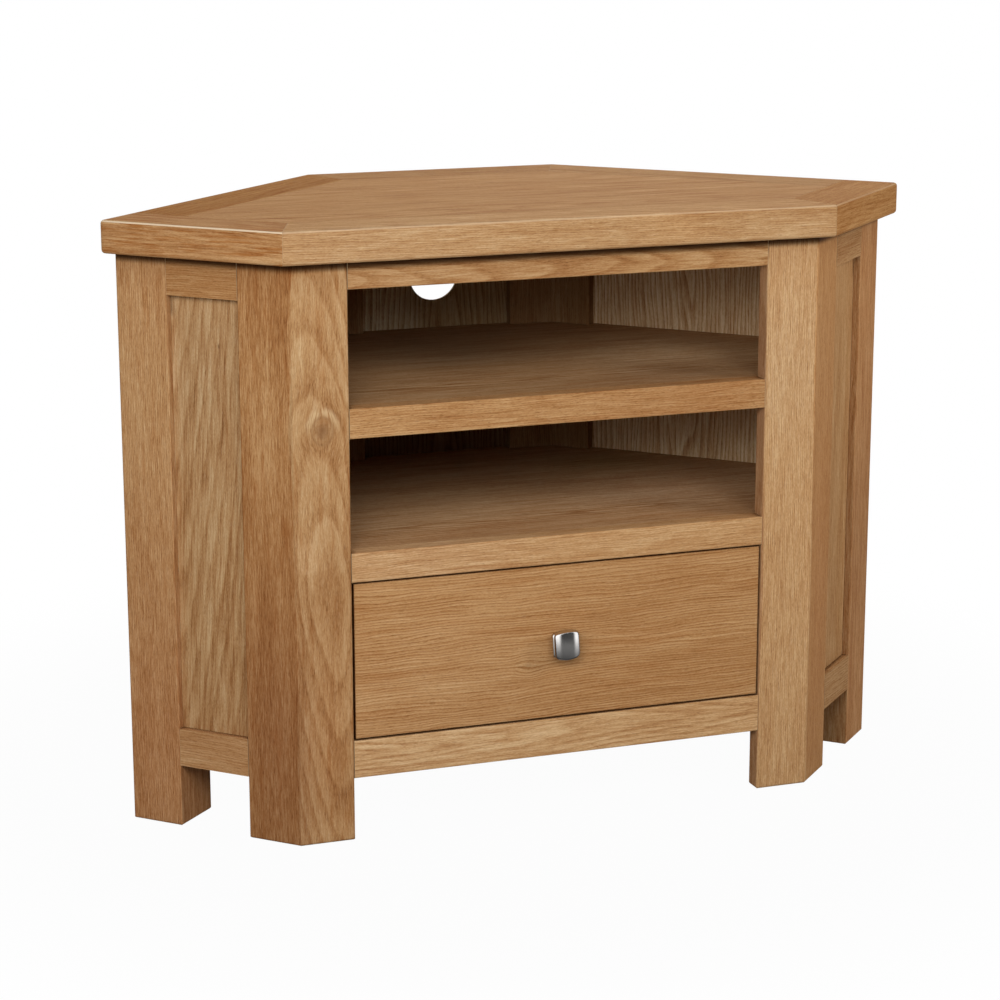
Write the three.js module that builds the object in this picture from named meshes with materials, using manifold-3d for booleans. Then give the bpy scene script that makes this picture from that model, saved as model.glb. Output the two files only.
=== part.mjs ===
// Corner television cabinet in solid oak: a six-sided framed top on six legs, with two
// open compartments over one dovetailed drawer. Its two rear diagonals stand along the
// walls of a corner, and its front looks along -Y.
//
// Lengths are millimetres and +Z is up. The origin is on the floor, under the middle of
// the cabinet's outer box. Plan outlines are drawn anticlockwise, seen from above.

import * as THREE from 'three';
import { mergeVertices } from 'three/addons/utils/BufferGeometryUtils.js';
import Module from 'manifold-3d';

const wasm = await Module();
wasm.setup();

// Overall form. All corner cuts run at 45 degrees, so that the cabinet suits a square corner.
// Widths are taken between the sharp corners of the top, before they are eased.
const overallHeight = 600;
const overallWidth = 840;
const backEdgeWidth = 280;
const frontCornerCut = 140;

// Fitting
const jointGap = 0.3;
const overrun = 10;
const arrisSteps = 3;
const tenonThicknessShare = 0.36;

// Top: a mitred frame of boards round a centre panel with a tongue on all its edges
const topThickness = 32;
const topEdgeRadius = 3.5;
const topCornerRadius = 5;
const topFrontBoardWidth = 58;
const topSideBoardWidth = 56;
const topRearBoardWidth = 62;
const topBackBoardWidth = 62;
const topTongueLength = 8;
const topTongueThickness = 10;
const frontOverhang = 16;
const sideOverhang = 19;
const rearOverhang = 4;
const backOverhang = 4;

// Posts, which run down to the floor as legs
const frontPostFace = 55;
const frontPostReturn = 57;
const sidePostWidth = 56;
const sidePostDepth = 55;
const backPostLeaf = 54;
const backPostThickness = 17;
const postArris = 2.2;
const postInnerArris = 1;
const footArris = 2.5;

// Levels, from the floor up
const legHeight = 63;
const bottomRailHeight = 38;
const drawerOpeningHeight = 158;
const shelfLipHeight = 29;
const lowerCompartmentHeight = 111;

// Front rails and shelf lips
const frontFrameThickness = 18;
const frontTopRailHeight = 27;
const frontRailArris = 1.4;
const tenonLength = 15;
const tenonShoulder = 6;

// Side frames
const sideRailThickness = 20;
const sideTopRailHeight = 38;
const sidePanelRecess = 7.5;
const sidePanelThickness = 8;
const grooveDepth = 6;

// Back frames
const backRailHeight = 38;
const backTenonLength = 11;
const backPanelThickness = 5;
const rebateWidth = 8;
const cableHoleRadius = 27.5;
const cableHoleDrop = 83;
const cableHoleFacets = 48;

// Shelves, base board and what carries them
const shelfThickness = 18;
const shelfTongueLength = 6;
const shelfTongueThickness = 6;
const shelfTongueInset = 12;
const cleatDepth = 16;
const cleatHeight = 18;
const baseBoardThickness = 12;
const baseBoardRise = 3;
const fixingBlockLength = 44;
const fixingBlockDepth = 22;
const fixingBlockHeight = 20;
const frontBlockPlaceShare = 0.62;
const backBlockPlaceShare = 0.5;

// Drawer
const drawerSideGap = 2;
const drawerEdgeGap = 1.5;
const drawerFaceRecess = 1;
const drawerFrontThickness = 20;
const drawerFrontArris = 1.2;
const drawerBoardThickness = 12;
const drawerSideDrop = 3;
const drawerBackDrop = 8;
const drawerRearClearance = 8;
const drawerBottomThickness = 6;
const drawerBottomRise = 9;
const drawerGrooveDepth = 6;
const frontTailLength = 14;
const frontTailCount = 4;
const backTailCount = 4;
const tailRootShare = 0.62;
const tailSlopeShare = 1 / 7;

// Drawer runners
const runnerLedge = 20;
const guideClearance = 0.8;
const guideThickness = 14;
const guideHeight = 22;
const kickerReach = 14;
const stopClearance = 0.5;
const stopHeight = 14;

// Knob
const knobWidth = 25;
const knobMiddleHeight = 28.5;
const knobEndHeight = 24.5;
const knobProjection = 21;
const knobBow = 4;
const knobPlateThickness = 7;
const knobCornerRadius = 2;
const knobBaseRadius = 8;
const knobBaseThickness = 2;
const knobWaistRadius = 5;
const knobNeckRadius = 8.5;
const knobFacets = 32;
const bowSteps = 10;
const neckSteps = 6;
const screwRadius = 2;
const screwDepth = 9;
const screwHeadRadius = 4.2;
const screwHeadHeight = 2.6;
const screwFacets = 16;

// Finishes: colour, roughness and metalness
const oakTop = { color: 0xbf9466, roughness: 0.42, metalness: 0 };
const oakPost = { color: 0xb98b5c, roughness: 0.48, metalness: 0 };
const oakRail = { color: 0xb48654, roughness: 0.48, metalness: 0 };
const oakPanel = { color: 0xae8658, roughness: 0.5, metalness: 0 };
const oakInside = { color: 0xae8456, roughness: 0.6, metalness: 0 };
const nickel = { color: 0xb9b7b3, roughness: 0.28, metalness: 1 };
const steel = { color: 0x9a9a9c, roughness: 0.4, metalness: 1 };

const point = (x, y) => new THREE.Vector2(x, y);

/** Where two plan lines cross, each given as a point on it and its direction. */
function crossing(a, b) {
  const between = b.from.clone().sub(a.from);
  const reach = between.cross(b.way) / a.way.cross(b.way);
  return a.from.clone().addScaledVector(a.way, reach);
}

/** One edge of a plan outline: places on it are given along it and inwards from it. */
class Face {
  constructor(start, end) {
    this.start = start;
    this.length = start.distanceTo(end);
    this.way = end.clone().sub(start).normalize();
    this.inward = point(-this.way.y, this.way.x);
  }

  at(along, depth) {
    return this.start.clone().addScaledVector(this.way, along).addScaledVector(this.inward, depth);
  }

  line(depth) {
    return { from: this.at(0, depth), way: this.way };
  }

  strip(from, to, outer, inner) {
    return [this.at(from, outer), this.at(to, outer), this.at(to, inner), this.at(from, inner)];
  }

  /** A strip that stops the same distance short of both ends. */
  middle(short, outer, inner) {
    return this.strip(short, this.length - short, outer, inner);
  }
}

const facesOf = (outline) => outline.map((p, i) => new Face(p, outline[(i + 1) % outline.length]));

/** The outline inside a ring of faces, each edge moved inwards by its own depth. */
function inset(faces, depths) {
  const lines = faces.map((face, i) => face.line(depths[i]));
  return lines.map((line, i) => crossing(lines[(i + lines.length - 1) % lines.length], line));
}

const widened = (outline, by) => inset(facesOf(outline), outline.map(() => -by));

const mirroredOutline = (outline) => outline.map((p) => point(-p.x, p.y)).reverse();

/** The outline with its corners rounded, by one radius or by a list of them. */
function eased(outline, radii) {
  return outline.flatMap((corner, i) => {
    const radius = Array.isArray(radii) ? radii[i] : radii;
    if (radius === 0) return [corner];
    const back = outline[(i + outline.length - 1) % outline.length].clone().sub(corner).normalize();
    const on = outline[(i + 1) % outline.length].clone().sub(corner).normalize();
    const reach = radius / Math.tan(Math.acos(back.dot(on)) / 2);
    const first = corner.clone().addScaledVector(back, reach);
    const last = corner.clone().addScaledVector(on, reach);
    return new THREE.QuadraticBezierCurve(first, corner, last).getPoints(arrisSteps);
  });
}

/** A closed geometry as a solid that can be joined and cut. */
function toSolid(geometry) {
  geometry.deleteAttribute('normal');
  geometry.deleteAttribute('uv');
  const merged = mergeVertices(geometry);
  const vertProperties = merged.attributes.position.array;
  const triVerts = new Uint32Array(merged.index.array);
  return new wasm.Manifold(new wasm.Mesh({ numProp: 3, vertProperties, triVerts }));
}

const X = new THREE.Vector3(1, 0, 0);
const Y = new THREE.Vector3(0, 1, 0);
const Z = new THREE.Vector3(0, 0, 1);
const alongX = new THREE.Matrix4().makeBasis(Y, Z, X);
const alongFront = new THREE.Matrix4().makeBasis(X, Z, Y.clone().negate());

function extruded(outline, length) {
  return new THREE.ExtrudeGeometry(new THREE.Shape(outline), { depth: length, bevelEnabled: false });
}

/** An upright piece: its plan outline, and the heights between which it stands. */
const upright = (outline, bottom, top) => ({ outline, bottom, top });

const prism = ({ outline, bottom, top }) =>
  toSolid(extruded(outline, top - bottom).translate(0, 0, bottom));

/** The space that an upright piece needs in its neighbour, with a joint gap all round it. */
const roomFor = ({ outline, bottom, top }) =>
  prism(upright(widened(outline, jointGap), bottom - jointGap, top + jointGap));

const mirroredBlock = (block) => ({ ...block, outline: mirroredOutline(block.outline) });

/** A profile in Y and Z, drawn out along X. */
const bar = (profile, from, to) =>
  toSolid(extruded(profile, to - from).applyMatrix4(alongX).translate(from, 0, 0));

/** A front outline in X and Z, drawn out towards the front from one depth to another. */
const plate = (outline, from, to) =>
  toSolid(extruded(outline, from - to).applyMatrix4(alongFront).translate(0, from, 0));

/** A turned piece along Y at a height, from its radii and their places, in rising order of Y. */
const turned = (profile, facets, height = 0) =>
  toSolid(new THREE.LatheGeometry(profile, facets).translate(0, 0, height));

const joined = (...solids) => solids.reduce((whole, solid) => whole.add(solid));

const cut = (solid, ...tools) => tools.reduce((rest, tool) => rest.subtract(tool), solid);

const rectangle = (left, low, right, high) =>
  [point(left, low), point(right, low), point(right, high), point(left, high)];

function toGeometry(solid) {
  const mesh = solid.getMesh();
  const geometry = new THREE.BufferGeometry();
  geometry.setAttribute('position', new THREE.BufferAttribute(mesh.vertProperties, mesh.numProp));
  geometry.setIndex(new THREE.BufferAttribute(mesh.triVerts, 1));
  return geometry;
}

function mirroredGeometry(geometry) {
  const copy = geometry.clone().scale(-1, 1, 1);
  const corners = copy.index.array;
  for (let i = 0; i < corners.length; i += 3) {
    [corners[i], corners[i + 1]] = [corners[i + 1], corners[i]];
  }
  return copy;
}

/** Places a geometry as a named piece whose own origin is the low middle of its box. */
function place(group, name, geometry, finish) {
  geometry.computeBoundingBox();
  const middle = geometry.boundingBox.getCenter(new THREE.Vector3());
  middle.z = geometry.boundingBox.min.z;
  geometry.translate(-middle.x, -middle.y, -middle.z);
  const mesh = new THREE.Mesh(geometry, new THREE.MeshStandardMaterial(finish));
  mesh.geometry.computeVertexNormals();
  mesh.name = name;
  mesh.position.copy(middle);
  group.add(mesh);
}

const add = (group, name, solid, finish) => place(group, name, toGeometry(solid), finish);

/** Adds the right-hand piece and its mirror image on the left. */
function addPair(group, name, solid, finish) {
  place(group, `right_${name}`, toGeometry(solid), finish);
  place(group, `left_${name}`, mirroredGeometry(toGeometry(solid)), finish);
}

// Plan of the top, and of the posts' outer faces under it. The faces run in the order
// front, right side, right rear, back, left rear, left side.
const topHalf = overallWidth / 2;
const backHalf = backEdgeWidth / 2;
const topDepth = frontCornerCut + topHalf - backHalf;
const topOutline = [
  point(frontCornerCut - topHalf, 0),
  point(topHalf - frontCornerCut, 0),
  point(topHalf, frontCornerCut),
  point(backHalf, topDepth),
  point(-backHalf, topDepth),
  point(-topHalf, frontCornerCut),
];
const topFaces = facesOf(topOutline);
const ring = (front, side, rear, back) => [front, side, rear, back, rear, side];
const postFaces = facesOf(inset(topFaces, ring(frontOverhang, sideOverhang, rearOverhang, backOverhang)));
const [frontFace, sideFace, rearFace, backFace] = postFaces;
const frontFaceY = frontFace.start.y;

// Levels
const drawerOpeningFloor = legHeight + bottomRailHeight;
const drawerOpeningTop = drawerOpeningFloor + drawerOpeningHeight;
const lowerShelfTop = drawerOpeningTop + shelfLipHeight;
const upperLipBottom = lowerShelfTop + lowerCompartmentHeight;
const upperShelfTop = upperLipBottom + shelfLipHeight;
const carcassTop = overallHeight - topThickness;
const railTop = carcassTop - jointGap;

// Ends of the stretches between posts
const sideRailEnd = sideFace.length - sidePostWidth;
const rearRailEnd = rearFace.length - backPostLeaf;
const panelBack = sidePanelRecess + sidePanelThickness;

/** A rail between two posts, with its stub tenons drawn as one long block through it. */
function railBetween(face, from, to, outer, inner, bottom, top, length) {
  const thickness = (inner - outer) * tenonThicknessShare;
  const middle = (inner + outer) / 2;
  const reach = face.strip(from - length, to + length, middle - thickness / 2, middle + thickness / 2);
  return {
    body: upright(face.strip(from + jointGap, to - jointGap, outer, inner), bottom, top),
    tenon: upright(reach, bottom + tenonShoulder, top - tenonShoulder),
  };
}

const frontRail = (bottom, top) =>
  railBetween(frontFace, frontPostFace, frontFace.length - frontPostFace, 0, frontFrameThickness,
    bottom, top, tenonLength);

const sideRail = (bottom, top) =>
  railBetween(sideFace, frontPostReturn, sideRailEnd, 0, sideRailThickness, bottom, top, tenonLength);

const rearRail = (bottom, top) =>
  railBetween(rearFace, sidePostDepth, rearRailEnd, backPanelThickness + jointGap, backPostThickness,
    bottom, top, backTenonLength);

const backRail = (bottom, top) =>
  railBetween(backFace, backPostLeaf, backFace.length - backPostLeaf, backPanelThickness + jointGap,
    backPostThickness, bottom, top, backTenonLength);

const frontRails = {
  front_top_rail: frontRail(carcassTop - frontTopRailHeight, railTop),
  upper_shelf_lip: frontRail(upperLipBottom, upperShelfTop),
  lower_shelf_lip: frontRail(drawerOpeningTop, lowerShelfTop),
  front_bottom_rail: frontRail(legHeight, drawerOpeningFloor),
};
const sideRails = {
  side_top_rail: sideRail(carcassTop - sideTopRailHeight, railTop),
  side_bottom_rail: sideRail(legHeight, drawerOpeningFloor),
};
const rearRails = {
  rear_top_rail: rearRail(carcassTop - backRailHeight, railTop),
  rear_bottom_rail: rearRail(legHeight, legHeight + backRailHeight),
};
const backRails = {
  back_top_rail: backRail(carcassTop - backRailHeight, railTop),
  back_bottom_rail: backRail(legHeight, legHeight + backRailHeight),
};

// Panels: the side ones sit in grooves, the back ones in rebates cut from behind
const sidePanel = upright(
  sideFace.strip(frontPostReturn - grooveDepth, sideRailEnd + grooveDepth, sidePanelRecess, panelBack),
  drawerOpeningFloor - grooveDepth,
  carcassTop - sideTopRailHeight + grooveDepth,
);
const rearPanel = upright(
  rearFace.strip(sidePostDepth - rebateWidth, rearRailEnd + rebateWidth, 0, backPanelThickness),
  legHeight,
  railTop,
);
const backPanel = upright(
  backFace.middle(backPostLeaf - rebateWidth, 0, backPanelThickness),
  legHeight,
  railTop,
);

// Posts in plan. The front post is bent: its front face and its side face meet at 45
// degrees, and its inner face runs parallel to the side face.
const openingCorner = frontFace.at(frontFace.length - frontPostFace, frontFrameThickness);
const innerLine = { from: openingCorner, way: sideFace.way };
const returnLine = { from: sideFace.at(frontPostReturn, 0), way: sideFace.inward };
const frontPost = upright([
  frontFace.at(frontFace.length - frontPostFace, 0),
  sideFace.start,
  sideFace.at(frontPostReturn, 0),
  crossing(returnLine, innerLine),
  openingCorner,
], 0, railTop);
const sidePost = upright([
  sideFace.at(sideRailEnd, 0),
  sideFace.at(sideFace.length, 0),
  sideFace.at(sideFace.length, sidePostDepth),
  sideFace.at(sideRailEnd, sidePostDepth),
], 0, railTop);
const backPost = upright([
  rearFace.at(rearRailEnd, 0),
  backFace.start,
  backFace.at(backPostLeaf, 0),
  backFace.at(backPostLeaf, backPostThickness),
  crossing(rearFace.line(backPostThickness), backFace.line(backPostThickness)),
  rearFace.at(rearRailEnd, backPostThickness),
], 0, railTop);

/** A post with its upright arrises eased by a list of radii, and its foot eased all round. */
function easedPost(post, radii) {
  const footed = new THREE.ExtrudeGeometry(new THREE.Shape(post.outline), {
    depth: post.top,
    bevelThickness: footArris,
    bevelSize: footArris,
    bevelOffset: -footArris,
    bevelSegments: arrisSteps,
  });
  return prism({ ...post, outline: eased(post.outline, radii) })
    .intersect(toSolid(footed.translate(0, 0, footArris)));
}

const roomForTenons = (rails) => Object.values(rails).map((rail) => roomFor(rail.tenon));

function addPosts(group) {
  const inner = postInnerArris;
  const front = easedPost(frontPost, [postArris, postArris, inner, inner, inner]);
  const side = easedPost(sidePost, [inner, postArris, inner, inner]);
  const back = easedPost(backPost, [inner, postArris, inner, inner, 0, inner]);
  addPair(group, 'front_post',
    cut(front, ...roomForTenons(frontRails), ...roomForTenons(sideRails), roomFor(sidePanel)), oakPost);
  addPair(group, 'side_post',
    cut(side, ...roomForTenons(sideRails), ...roomForTenons(rearRails), roomFor(sidePanel),
      roomFor(rearPanel)), oakPost);
  addPair(group, 'back_post',
    cut(back, ...roomForTenons(rearRails), ...roomForTenons(backRails), roomFor(rearPanel),
      roomFor(backPanel)), oakPost);
}

/** The tongue on a shelf's front edge, which the lip's groove takes. */
function shelfTongue(shelfTop) {
  const middle = shelfTop - shelfThickness / 2;
  const outline = frontFace.middle(frontPostFace + shelfTongueInset,
    frontFrameThickness - shelfTongueLength, frontFrameThickness + shelfTongueLength);
  return upright(outline, middle - shelfTongueThickness / 2, middle + shelfTongueThickness / 2);
}

function addFrontRails(group) {
  const tongues = { upper_shelf_lip: shelfTongue(upperShelfTop), lower_shelf_lip: shelfTongue(lowerShelfTop) };
  for (const [name, { body, tenon }] of Object.entries(frontRails)) {
    const back = frontFaceY + frontFrameThickness;
    const profile = eased(rectangle(frontFaceY, body.bottom, back, body.top),
      [frontRailArris, 0, 0, frontRailArris]);
    const rail = joined(bar(profile, body.outline[0].x, body.outline[1].x), prism(tenon));
    const grooves = tongues[name] ? [roomFor(tongues[name])] : [];
    add(group, name, cut(rail, ...grooves), oakRail);
  }
}

function addSideFrames(group) {
  for (const [name, { body, tenon }] of Object.entries(sideRails)) {
    addPair(group, name, cut(joined(prism(body), prism(tenon)), roomFor(sidePanel)), oakRail);
  }
  addPair(group, 'side_panel', prism(sidePanel), oakPanel);
}

function addBackFrames(group) {
  for (const [name, { body, tenon }] of Object.entries(rearRails)) {
    addPair(group, name, joined(prism(body), prism(tenon)), oakInside);
  }
  for (const [name, { body, tenon }] of Object.entries(backRails)) {
    add(group, name, joined(prism(body), prism(tenon)), oakInside);
  }
  addPair(group, 'rear_panel', prism(rearPanel), oakPanel);
  const hole = new THREE.CylinderGeometry(cableHoleRadius, cableHoleRadius,
    backPanelThickness + overrun, cableHoleFacets);
  hole.translate(0, backFace.start.y, carcassTop - cableHoleDrop);
  add(group, 'back_panel', cut(prism(backPanel), toSolid(hole)), oakPanel);
}

const posts = [frontPost, sidePost, backPost].flatMap((post) => [post, mirroredBlock(post)]);
const betweenPosts = (board) => cut(board, ...posts.map((post) => roomFor(post)));

/** A board that fills the plan between the front frame and the panels, notched round the posts. */
function shelf(top) {
  const outline = inset(postFaces, ring(frontFrameThickness + jointGap, panelBack + jointGap,
    backPanelThickness + jointGap, backPanelThickness + jointGap));
  return joined(betweenPosts(prism(upright(outline, top - shelfThickness, top))), prism(shelfTongue(top)));
}

const baseBoardTop = legHeight + baseBoardRise + baseBoardThickness;

function addShelves(group) {
  const tops = { upper: upperShelfTop, lower: lowerShelfTop };
  for (const [level, top] of Object.entries(tops)) {
    add(group, `${level}_shelf`, shelf(top), oakInside);
    const cleatTop = top - shelfThickness - jointGap;
    const sideCleat = sideFace.strip(frontPostReturn + jointGap, sideRailEnd - jointGap,
      panelBack + jointGap, panelBack + cleatDepth);
    const backCleat = backFace.middle(backPostLeaf + jointGap, backPanelThickness + jointGap,
      backPostThickness);
    addPair(group, `${level}_side_cleat`, prism(upright(sideCleat, cleatTop - cleatHeight, cleatTop)),
      oakInside);
    add(group, `${level}_back_cleat`, prism(upright(backCleat, cleatTop - cleatHeight, cleatTop)),
      oakInside);
  }
  const base = inset(postFaces, ring(frontFrameThickness + jointGap, sideRailThickness + jointGap,
    backPostThickness + jointGap, backPostThickness + jointGap));
  add(group, 'base_board',
    betweenPosts(prism(upright(base, baseBoardTop - baseBoardThickness, baseBoardTop))), oakInside);
}

/** Blocks in the angle under the top, which hold it down to the front and back rails. */
function addFixingBlocks(group) {
  const frontPlace = frontFace.length / 2 + (frontFace.length / 2 - frontPostFace) * frontBlockPlaceShare;
  const backPlace = backFace.length / 2 - (backFace.length / 2 - backPostLeaf) * backBlockPlaceShare;
  const blocks = {
    front_fixing_block: frontFace.strip(frontPlace - fixingBlockLength / 2,
      frontPlace + fixingBlockLength / 2, frontFrameThickness + jointGap,
      frontFrameThickness + fixingBlockDepth),
    back_fixing_block: backFace.strip(backPlace - fixingBlockLength / 2,
      backPlace + fixingBlockLength / 2, backPostThickness + jointGap,
      backPostThickness + fixingBlockDepth),
  };
  for (const [name, outline] of Object.entries(blocks)) {
    addPair(group, name, prism(upright(outline, railTop - fixingBlockHeight, railTop)), oakInside);
  }
}

/** The top's slab, with its arrises eased, before it is parted into boards. */
function topSlab() {
  const geometry = new THREE.ExtrudeGeometry(new THREE.Shape(eased(topOutline, topCornerRadius)), {
    depth: topThickness - topEdgeRadius * 2,
    bevelThickness: topEdgeRadius,
    bevelSize: topEdgeRadius,
    bevelOffset: -topEdgeRadius,
    bevelSegments: arrisSteps,
  });
  return toSolid(geometry.translate(0, 0, carcassTop + topEdgeRadius));
}

function addTop(group) {
  const widths = ring(topFrontBoardWidth, topSideBoardWidth, topRearBoardWidth, topBackBoardWidth);
  const outerLines = topFaces.map((face) => face.line(-overrun));
  const inner = inset(topFaces, widths);
  const mitre = (i) => topOutline[i].clone().addScaledVector(
    topOutline[i].clone().sub(inner[i]).normalize(), overrun * 2);
  const sideEnd = crossing(topFaces[1].line(topSideBoardWidth), outerLines[2]);
  const slab = topSlab();
  const tongueMiddle = carcassTop + topThickness / 2;
  const tongue = upright(widened(inner, topTongueLength), tongueMiddle - topTongueThickness / 2,
    tongueMiddle + topTongueThickness / 2);
  const board = (outline) => cut(
    slab.intersect(prism(upright(widened(outline, -jointGap / 2), carcassTop - overrun,
      overallHeight + overrun))),
    roomFor(tongue));

  add(group, 'top_front_board', board([mitre(0), mitre(1), inner[1], inner[0]]), oakTop);
  addPair(group, 'top_side_board',
    board([mitre(1), crossing(outerLines[1], outerLines[2]), sideEnd, inner[1]]), oakTop);
  addPair(group, 'top_rear_board', board([sideEnd, mitre(3), inner[3], inner[2]]), oakTop);
  add(group, 'top_back_board', board([mitre(3), mitre(4), inner[4], inner[3]]), oakTop);
  const field = prism(upright(widened(inner, -jointGap / 2), carcassTop, overallHeight));
  add(group, 'top_centre_panel', joined(field, prism(tongue)), oakTop);
}

// Drawer, in its own frame: x from its middle, y back from its face, z up from its lower edge
const drawerHalf = frontFace.length / 2 - frontPostFace - drawerSideGap;
const drawerFaceY = frontFaceY + drawerFaceRecess;
const drawerFloor = drawerOpeningFloor + drawerEdgeGap;
const drawerFrontHeight = drawerOpeningHeight - drawerEdgeGap * 2;
const drawerSideHeight = drawerFrontHeight - drawerSideDrop;
const drawerSideInner = drawerHalf - drawerBoardThickness;
const drawerBackBottom = drawerBottomRise + drawerBottomThickness + jointGap;
const drawerBackTop = drawerSideHeight - drawerBackDrop;

/** How far back a piece under the shelf may reach at one x, short of the rear rails. */
function rearLimit(x, clearance) {
  const across = { from: point(x, 0), way: point(0, 1) };
  return crossing(across, rearFace.line(backPostThickness + clearance)).y;
}

const drawerRear = rearLimit(drawerHalf, drawerRearClearance) - drawerFaceY;

/** Dovetails on one end of a drawer side, as outlines in y and z, made larger by a gap. */
function tails(root, tip, low, high, count, gap) {
  const pitch = (high - low) / count;
  const towards = Math.sign(tip - root);
  const start = root - towards * jointGap * 2;
  const end = tip + towards * gap;
  const narrow = pitch * tailRootShare / 2 + gap;
  const wide = narrow + Math.abs(end - start) * tailSlopeShare;
  return Array.from({ length: count }, (_, i) => {
    const middle = low + pitch * (i + 1 / 2);
    const outline = [point(start, middle - narrow), point(end, middle - wide),
      point(end, middle + wide), point(start, middle + narrow)];
    return towards > 0 ? outline : outline.reverse();
  });
}

const frontTails = (gap) => tails(drawerFrontThickness, drawerFrontThickness - frontTailLength,
  0, drawerSideHeight, frontTailCount, gap);
const backTails = (gap) => tails(drawerRear - drawerBoardThickness, drawerRear,
  drawerBackBottom, drawerBackTop, backTailCount, gap);

/** The room that the tails of both sides need in the board at one end of the drawer. */
function sockets(tailsOf) {
  const inner = drawerSideInner - jointGap;
  const outer = drawerHalf + overrun;
  return tailsOf(jointGap).flatMap((tail) => [bar(tail, inner, outer), bar(tail, -outer, -inner)]);
}

const drawerBottom = upright(
  rectangle(
    jointGap - drawerSideInner - drawerGrooveDepth,
    drawerFrontThickness - drawerGrooveDepth + jointGap,
    drawerSideInner + drawerGrooveDepth - jointGap,
    drawerRear,
  ),
  drawerBottomRise,
  drawerBottomRise + drawerBottomThickness,
);

function addDrawerBox(group) {
  const arris = drawerFrontArris;
  const groove = roomFor(drawerBottom);
  const facePlan = eased(rectangle(-drawerHalf, 0, drawerHalf, drawerFrontThickness),
    [arris, arris, 0, 0]);
  const faceProfile = eased(rectangle(0, 0, drawerFrontThickness, drawerFrontHeight), [arris, 0, 0, arris]);
  const front = prism(upright(facePlan, 0, drawerFrontHeight))
    .intersect(bar(faceProfile, -drawerHalf - overrun, drawerHalf + overrun));
  const holeRadius = screwRadius + jointGap;
  const screwHole = turned([point(0, -overrun), point(holeRadius, -overrun),
    point(holeRadius, drawerFrontThickness + overrun),
    point(0, drawerFrontThickness + overrun)], screwFacets, drawerFrontHeight / 2);
  add(group, 'drawer_front', cut(front, ...sockets(frontTails), groove, screwHole), oakRail);

  const shoulders = rectangle(drawerFrontThickness + jointGap, 0,
    drawerRear - drawerBoardThickness - jointGap, drawerSideHeight);
  const side = [shoulders, ...frontTails(0), ...backTails(0)]
    .map((outline) => bar(outline, drawerSideInner, drawerHalf));
  addPair(group, 'drawer_side', cut(joined(...side), groove), oakInside);

  const backBoard = bar(rectangle(drawerRear - drawerBoardThickness, drawerBackBottom, drawerRear,
    drawerBackTop), -drawerHalf, drawerHalf);
  add(group, 'drawer_back', cut(backBoard, ...sockets(backTails)), oakInside);
  add(group, 'drawer_bottom', prism(drawerBottom), oakPanel);
}

/** The knob: a square plate with a bowed face on a waisted neck, bored from behind for its screw. */
function knob() {
  const half = knobWidth / 2;
  const edgeY = knobBow - knobProjection;
  const plateBack = edgeY + knobPlateThickness;
  const bow = new THREE.QuadraticBezierCurve(point(-half, edgeY),
    point(0, edgeY - knobBow * 2), point(half, edgeY)).getPoints(bowSteps);
  const rim = new THREE.QuadraticBezierCurve(point(-half, -knobEndHeight / 2),
    point(0, knobEndHeight / 2 - knobMiddleHeight), point(half, -knobEndHeight / 2)).getPoints(bowSteps);
  const round = rim.map((_, i) => (i === 0 || i === bowSteps ? knobCornerRadius : 0));
  const outline = eased([...rim, ...rim.map((p) => point(-p.x, -p.y))], [...round, ...round]);
  const face = prism(upright([...bow, point(half, plateBack), point(-half, plateBack)],
    -knobMiddleHeight, knobMiddleHeight)).intersect(plate(outline, 0, -knobProjection - overrun));

  const waist = knobWaistRadius * 2 - (knobNeckRadius + knobBaseRadius) / 2;
  const neck = new THREE.QuadraticBezierCurve(point(knobNeckRadius, plateBack),
    point(waist, (plateBack - knobBaseThickness) / 2), point(knobBaseRadius, -knobBaseThickness));
  const stem = turned([point(0, plateBack - jointGap), point(knobNeckRadius, plateBack - jointGap),
    ...neck.getPoints(neckSteps), point(knobBaseRadius, -jointGap), point(0, -jointGap)], knobFacets);
  const boreRadius = screwRadius + jointGap;
  const bore = turned([point(0, -screwDepth - jointGap), point(boreRadius, -screwDepth - jointGap),
    point(boreRadius, overrun), point(0, overrun)], screwFacets);
  return cut(joined(face, stem), bore);
}

/** The screw that holds the knob from inside the drawer, with a pan head. */
function knobScrew() {
  const seat = drawerFrontThickness + jointGap;
  return turned([point(0, -screwDepth), point(screwRadius, -screwDepth), point(screwRadius, seat),
    point(screwHeadRadius, seat), point(screwHeadRadius, seat + screwHeadHeight / 2),
    point(screwHeadRadius / 2, seat + screwHeadHeight), point(0, seat + screwHeadHeight)], screwFacets);
}

function addRunners(group) {
  const behindFrame = frontFaceY + frontFrameThickness + jointGap;
  const guideInner = drawerHalf + guideClearance;
  const guideOuter = guideInner + guideThickness;
  const ledge = guideInner - runnerLedge;
  const runnerBottom = baseBoardTop + jointGap;
  const runnerTop = drawerFloor - jointGap;
  const strip = (inner, outer, front) => [point(inner, front), point(outer, front),
    point(outer, rearLimit(outer, jointGap)), point(inner, rearLimit(inner, jointGap))];
  const runner = joined(
    prism(upright(strip(ledge, guideOuter, behindFrame), runnerBottom, runnerTop)),
    prism(upright(strip(guideInner, guideOuter, behindFrame), runnerBottom, runnerTop + guideHeight)),
  );
  const kicker = prism(upright(strip(ledge, guideInner + kickerReach, behindFrame), drawerOpeningTop,
    lowerShelfTop - shelfThickness - jointGap));
  const stop = prism(upright(strip(drawerSideInner, drawerHalf, drawerFaceY + drawerRear + stopClearance),
    runnerTop + jointGap, runnerTop + stopHeight));
  addPair(group, 'drawer_runner', cut(runner, roomFor(frontPost)), oakInside);
  addPair(group, 'drawer_kicker', cut(kicker, roomFor(frontPost)), oakInside);
  addPair(group, 'drawer_stop', stop, oakInside);
}

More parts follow.
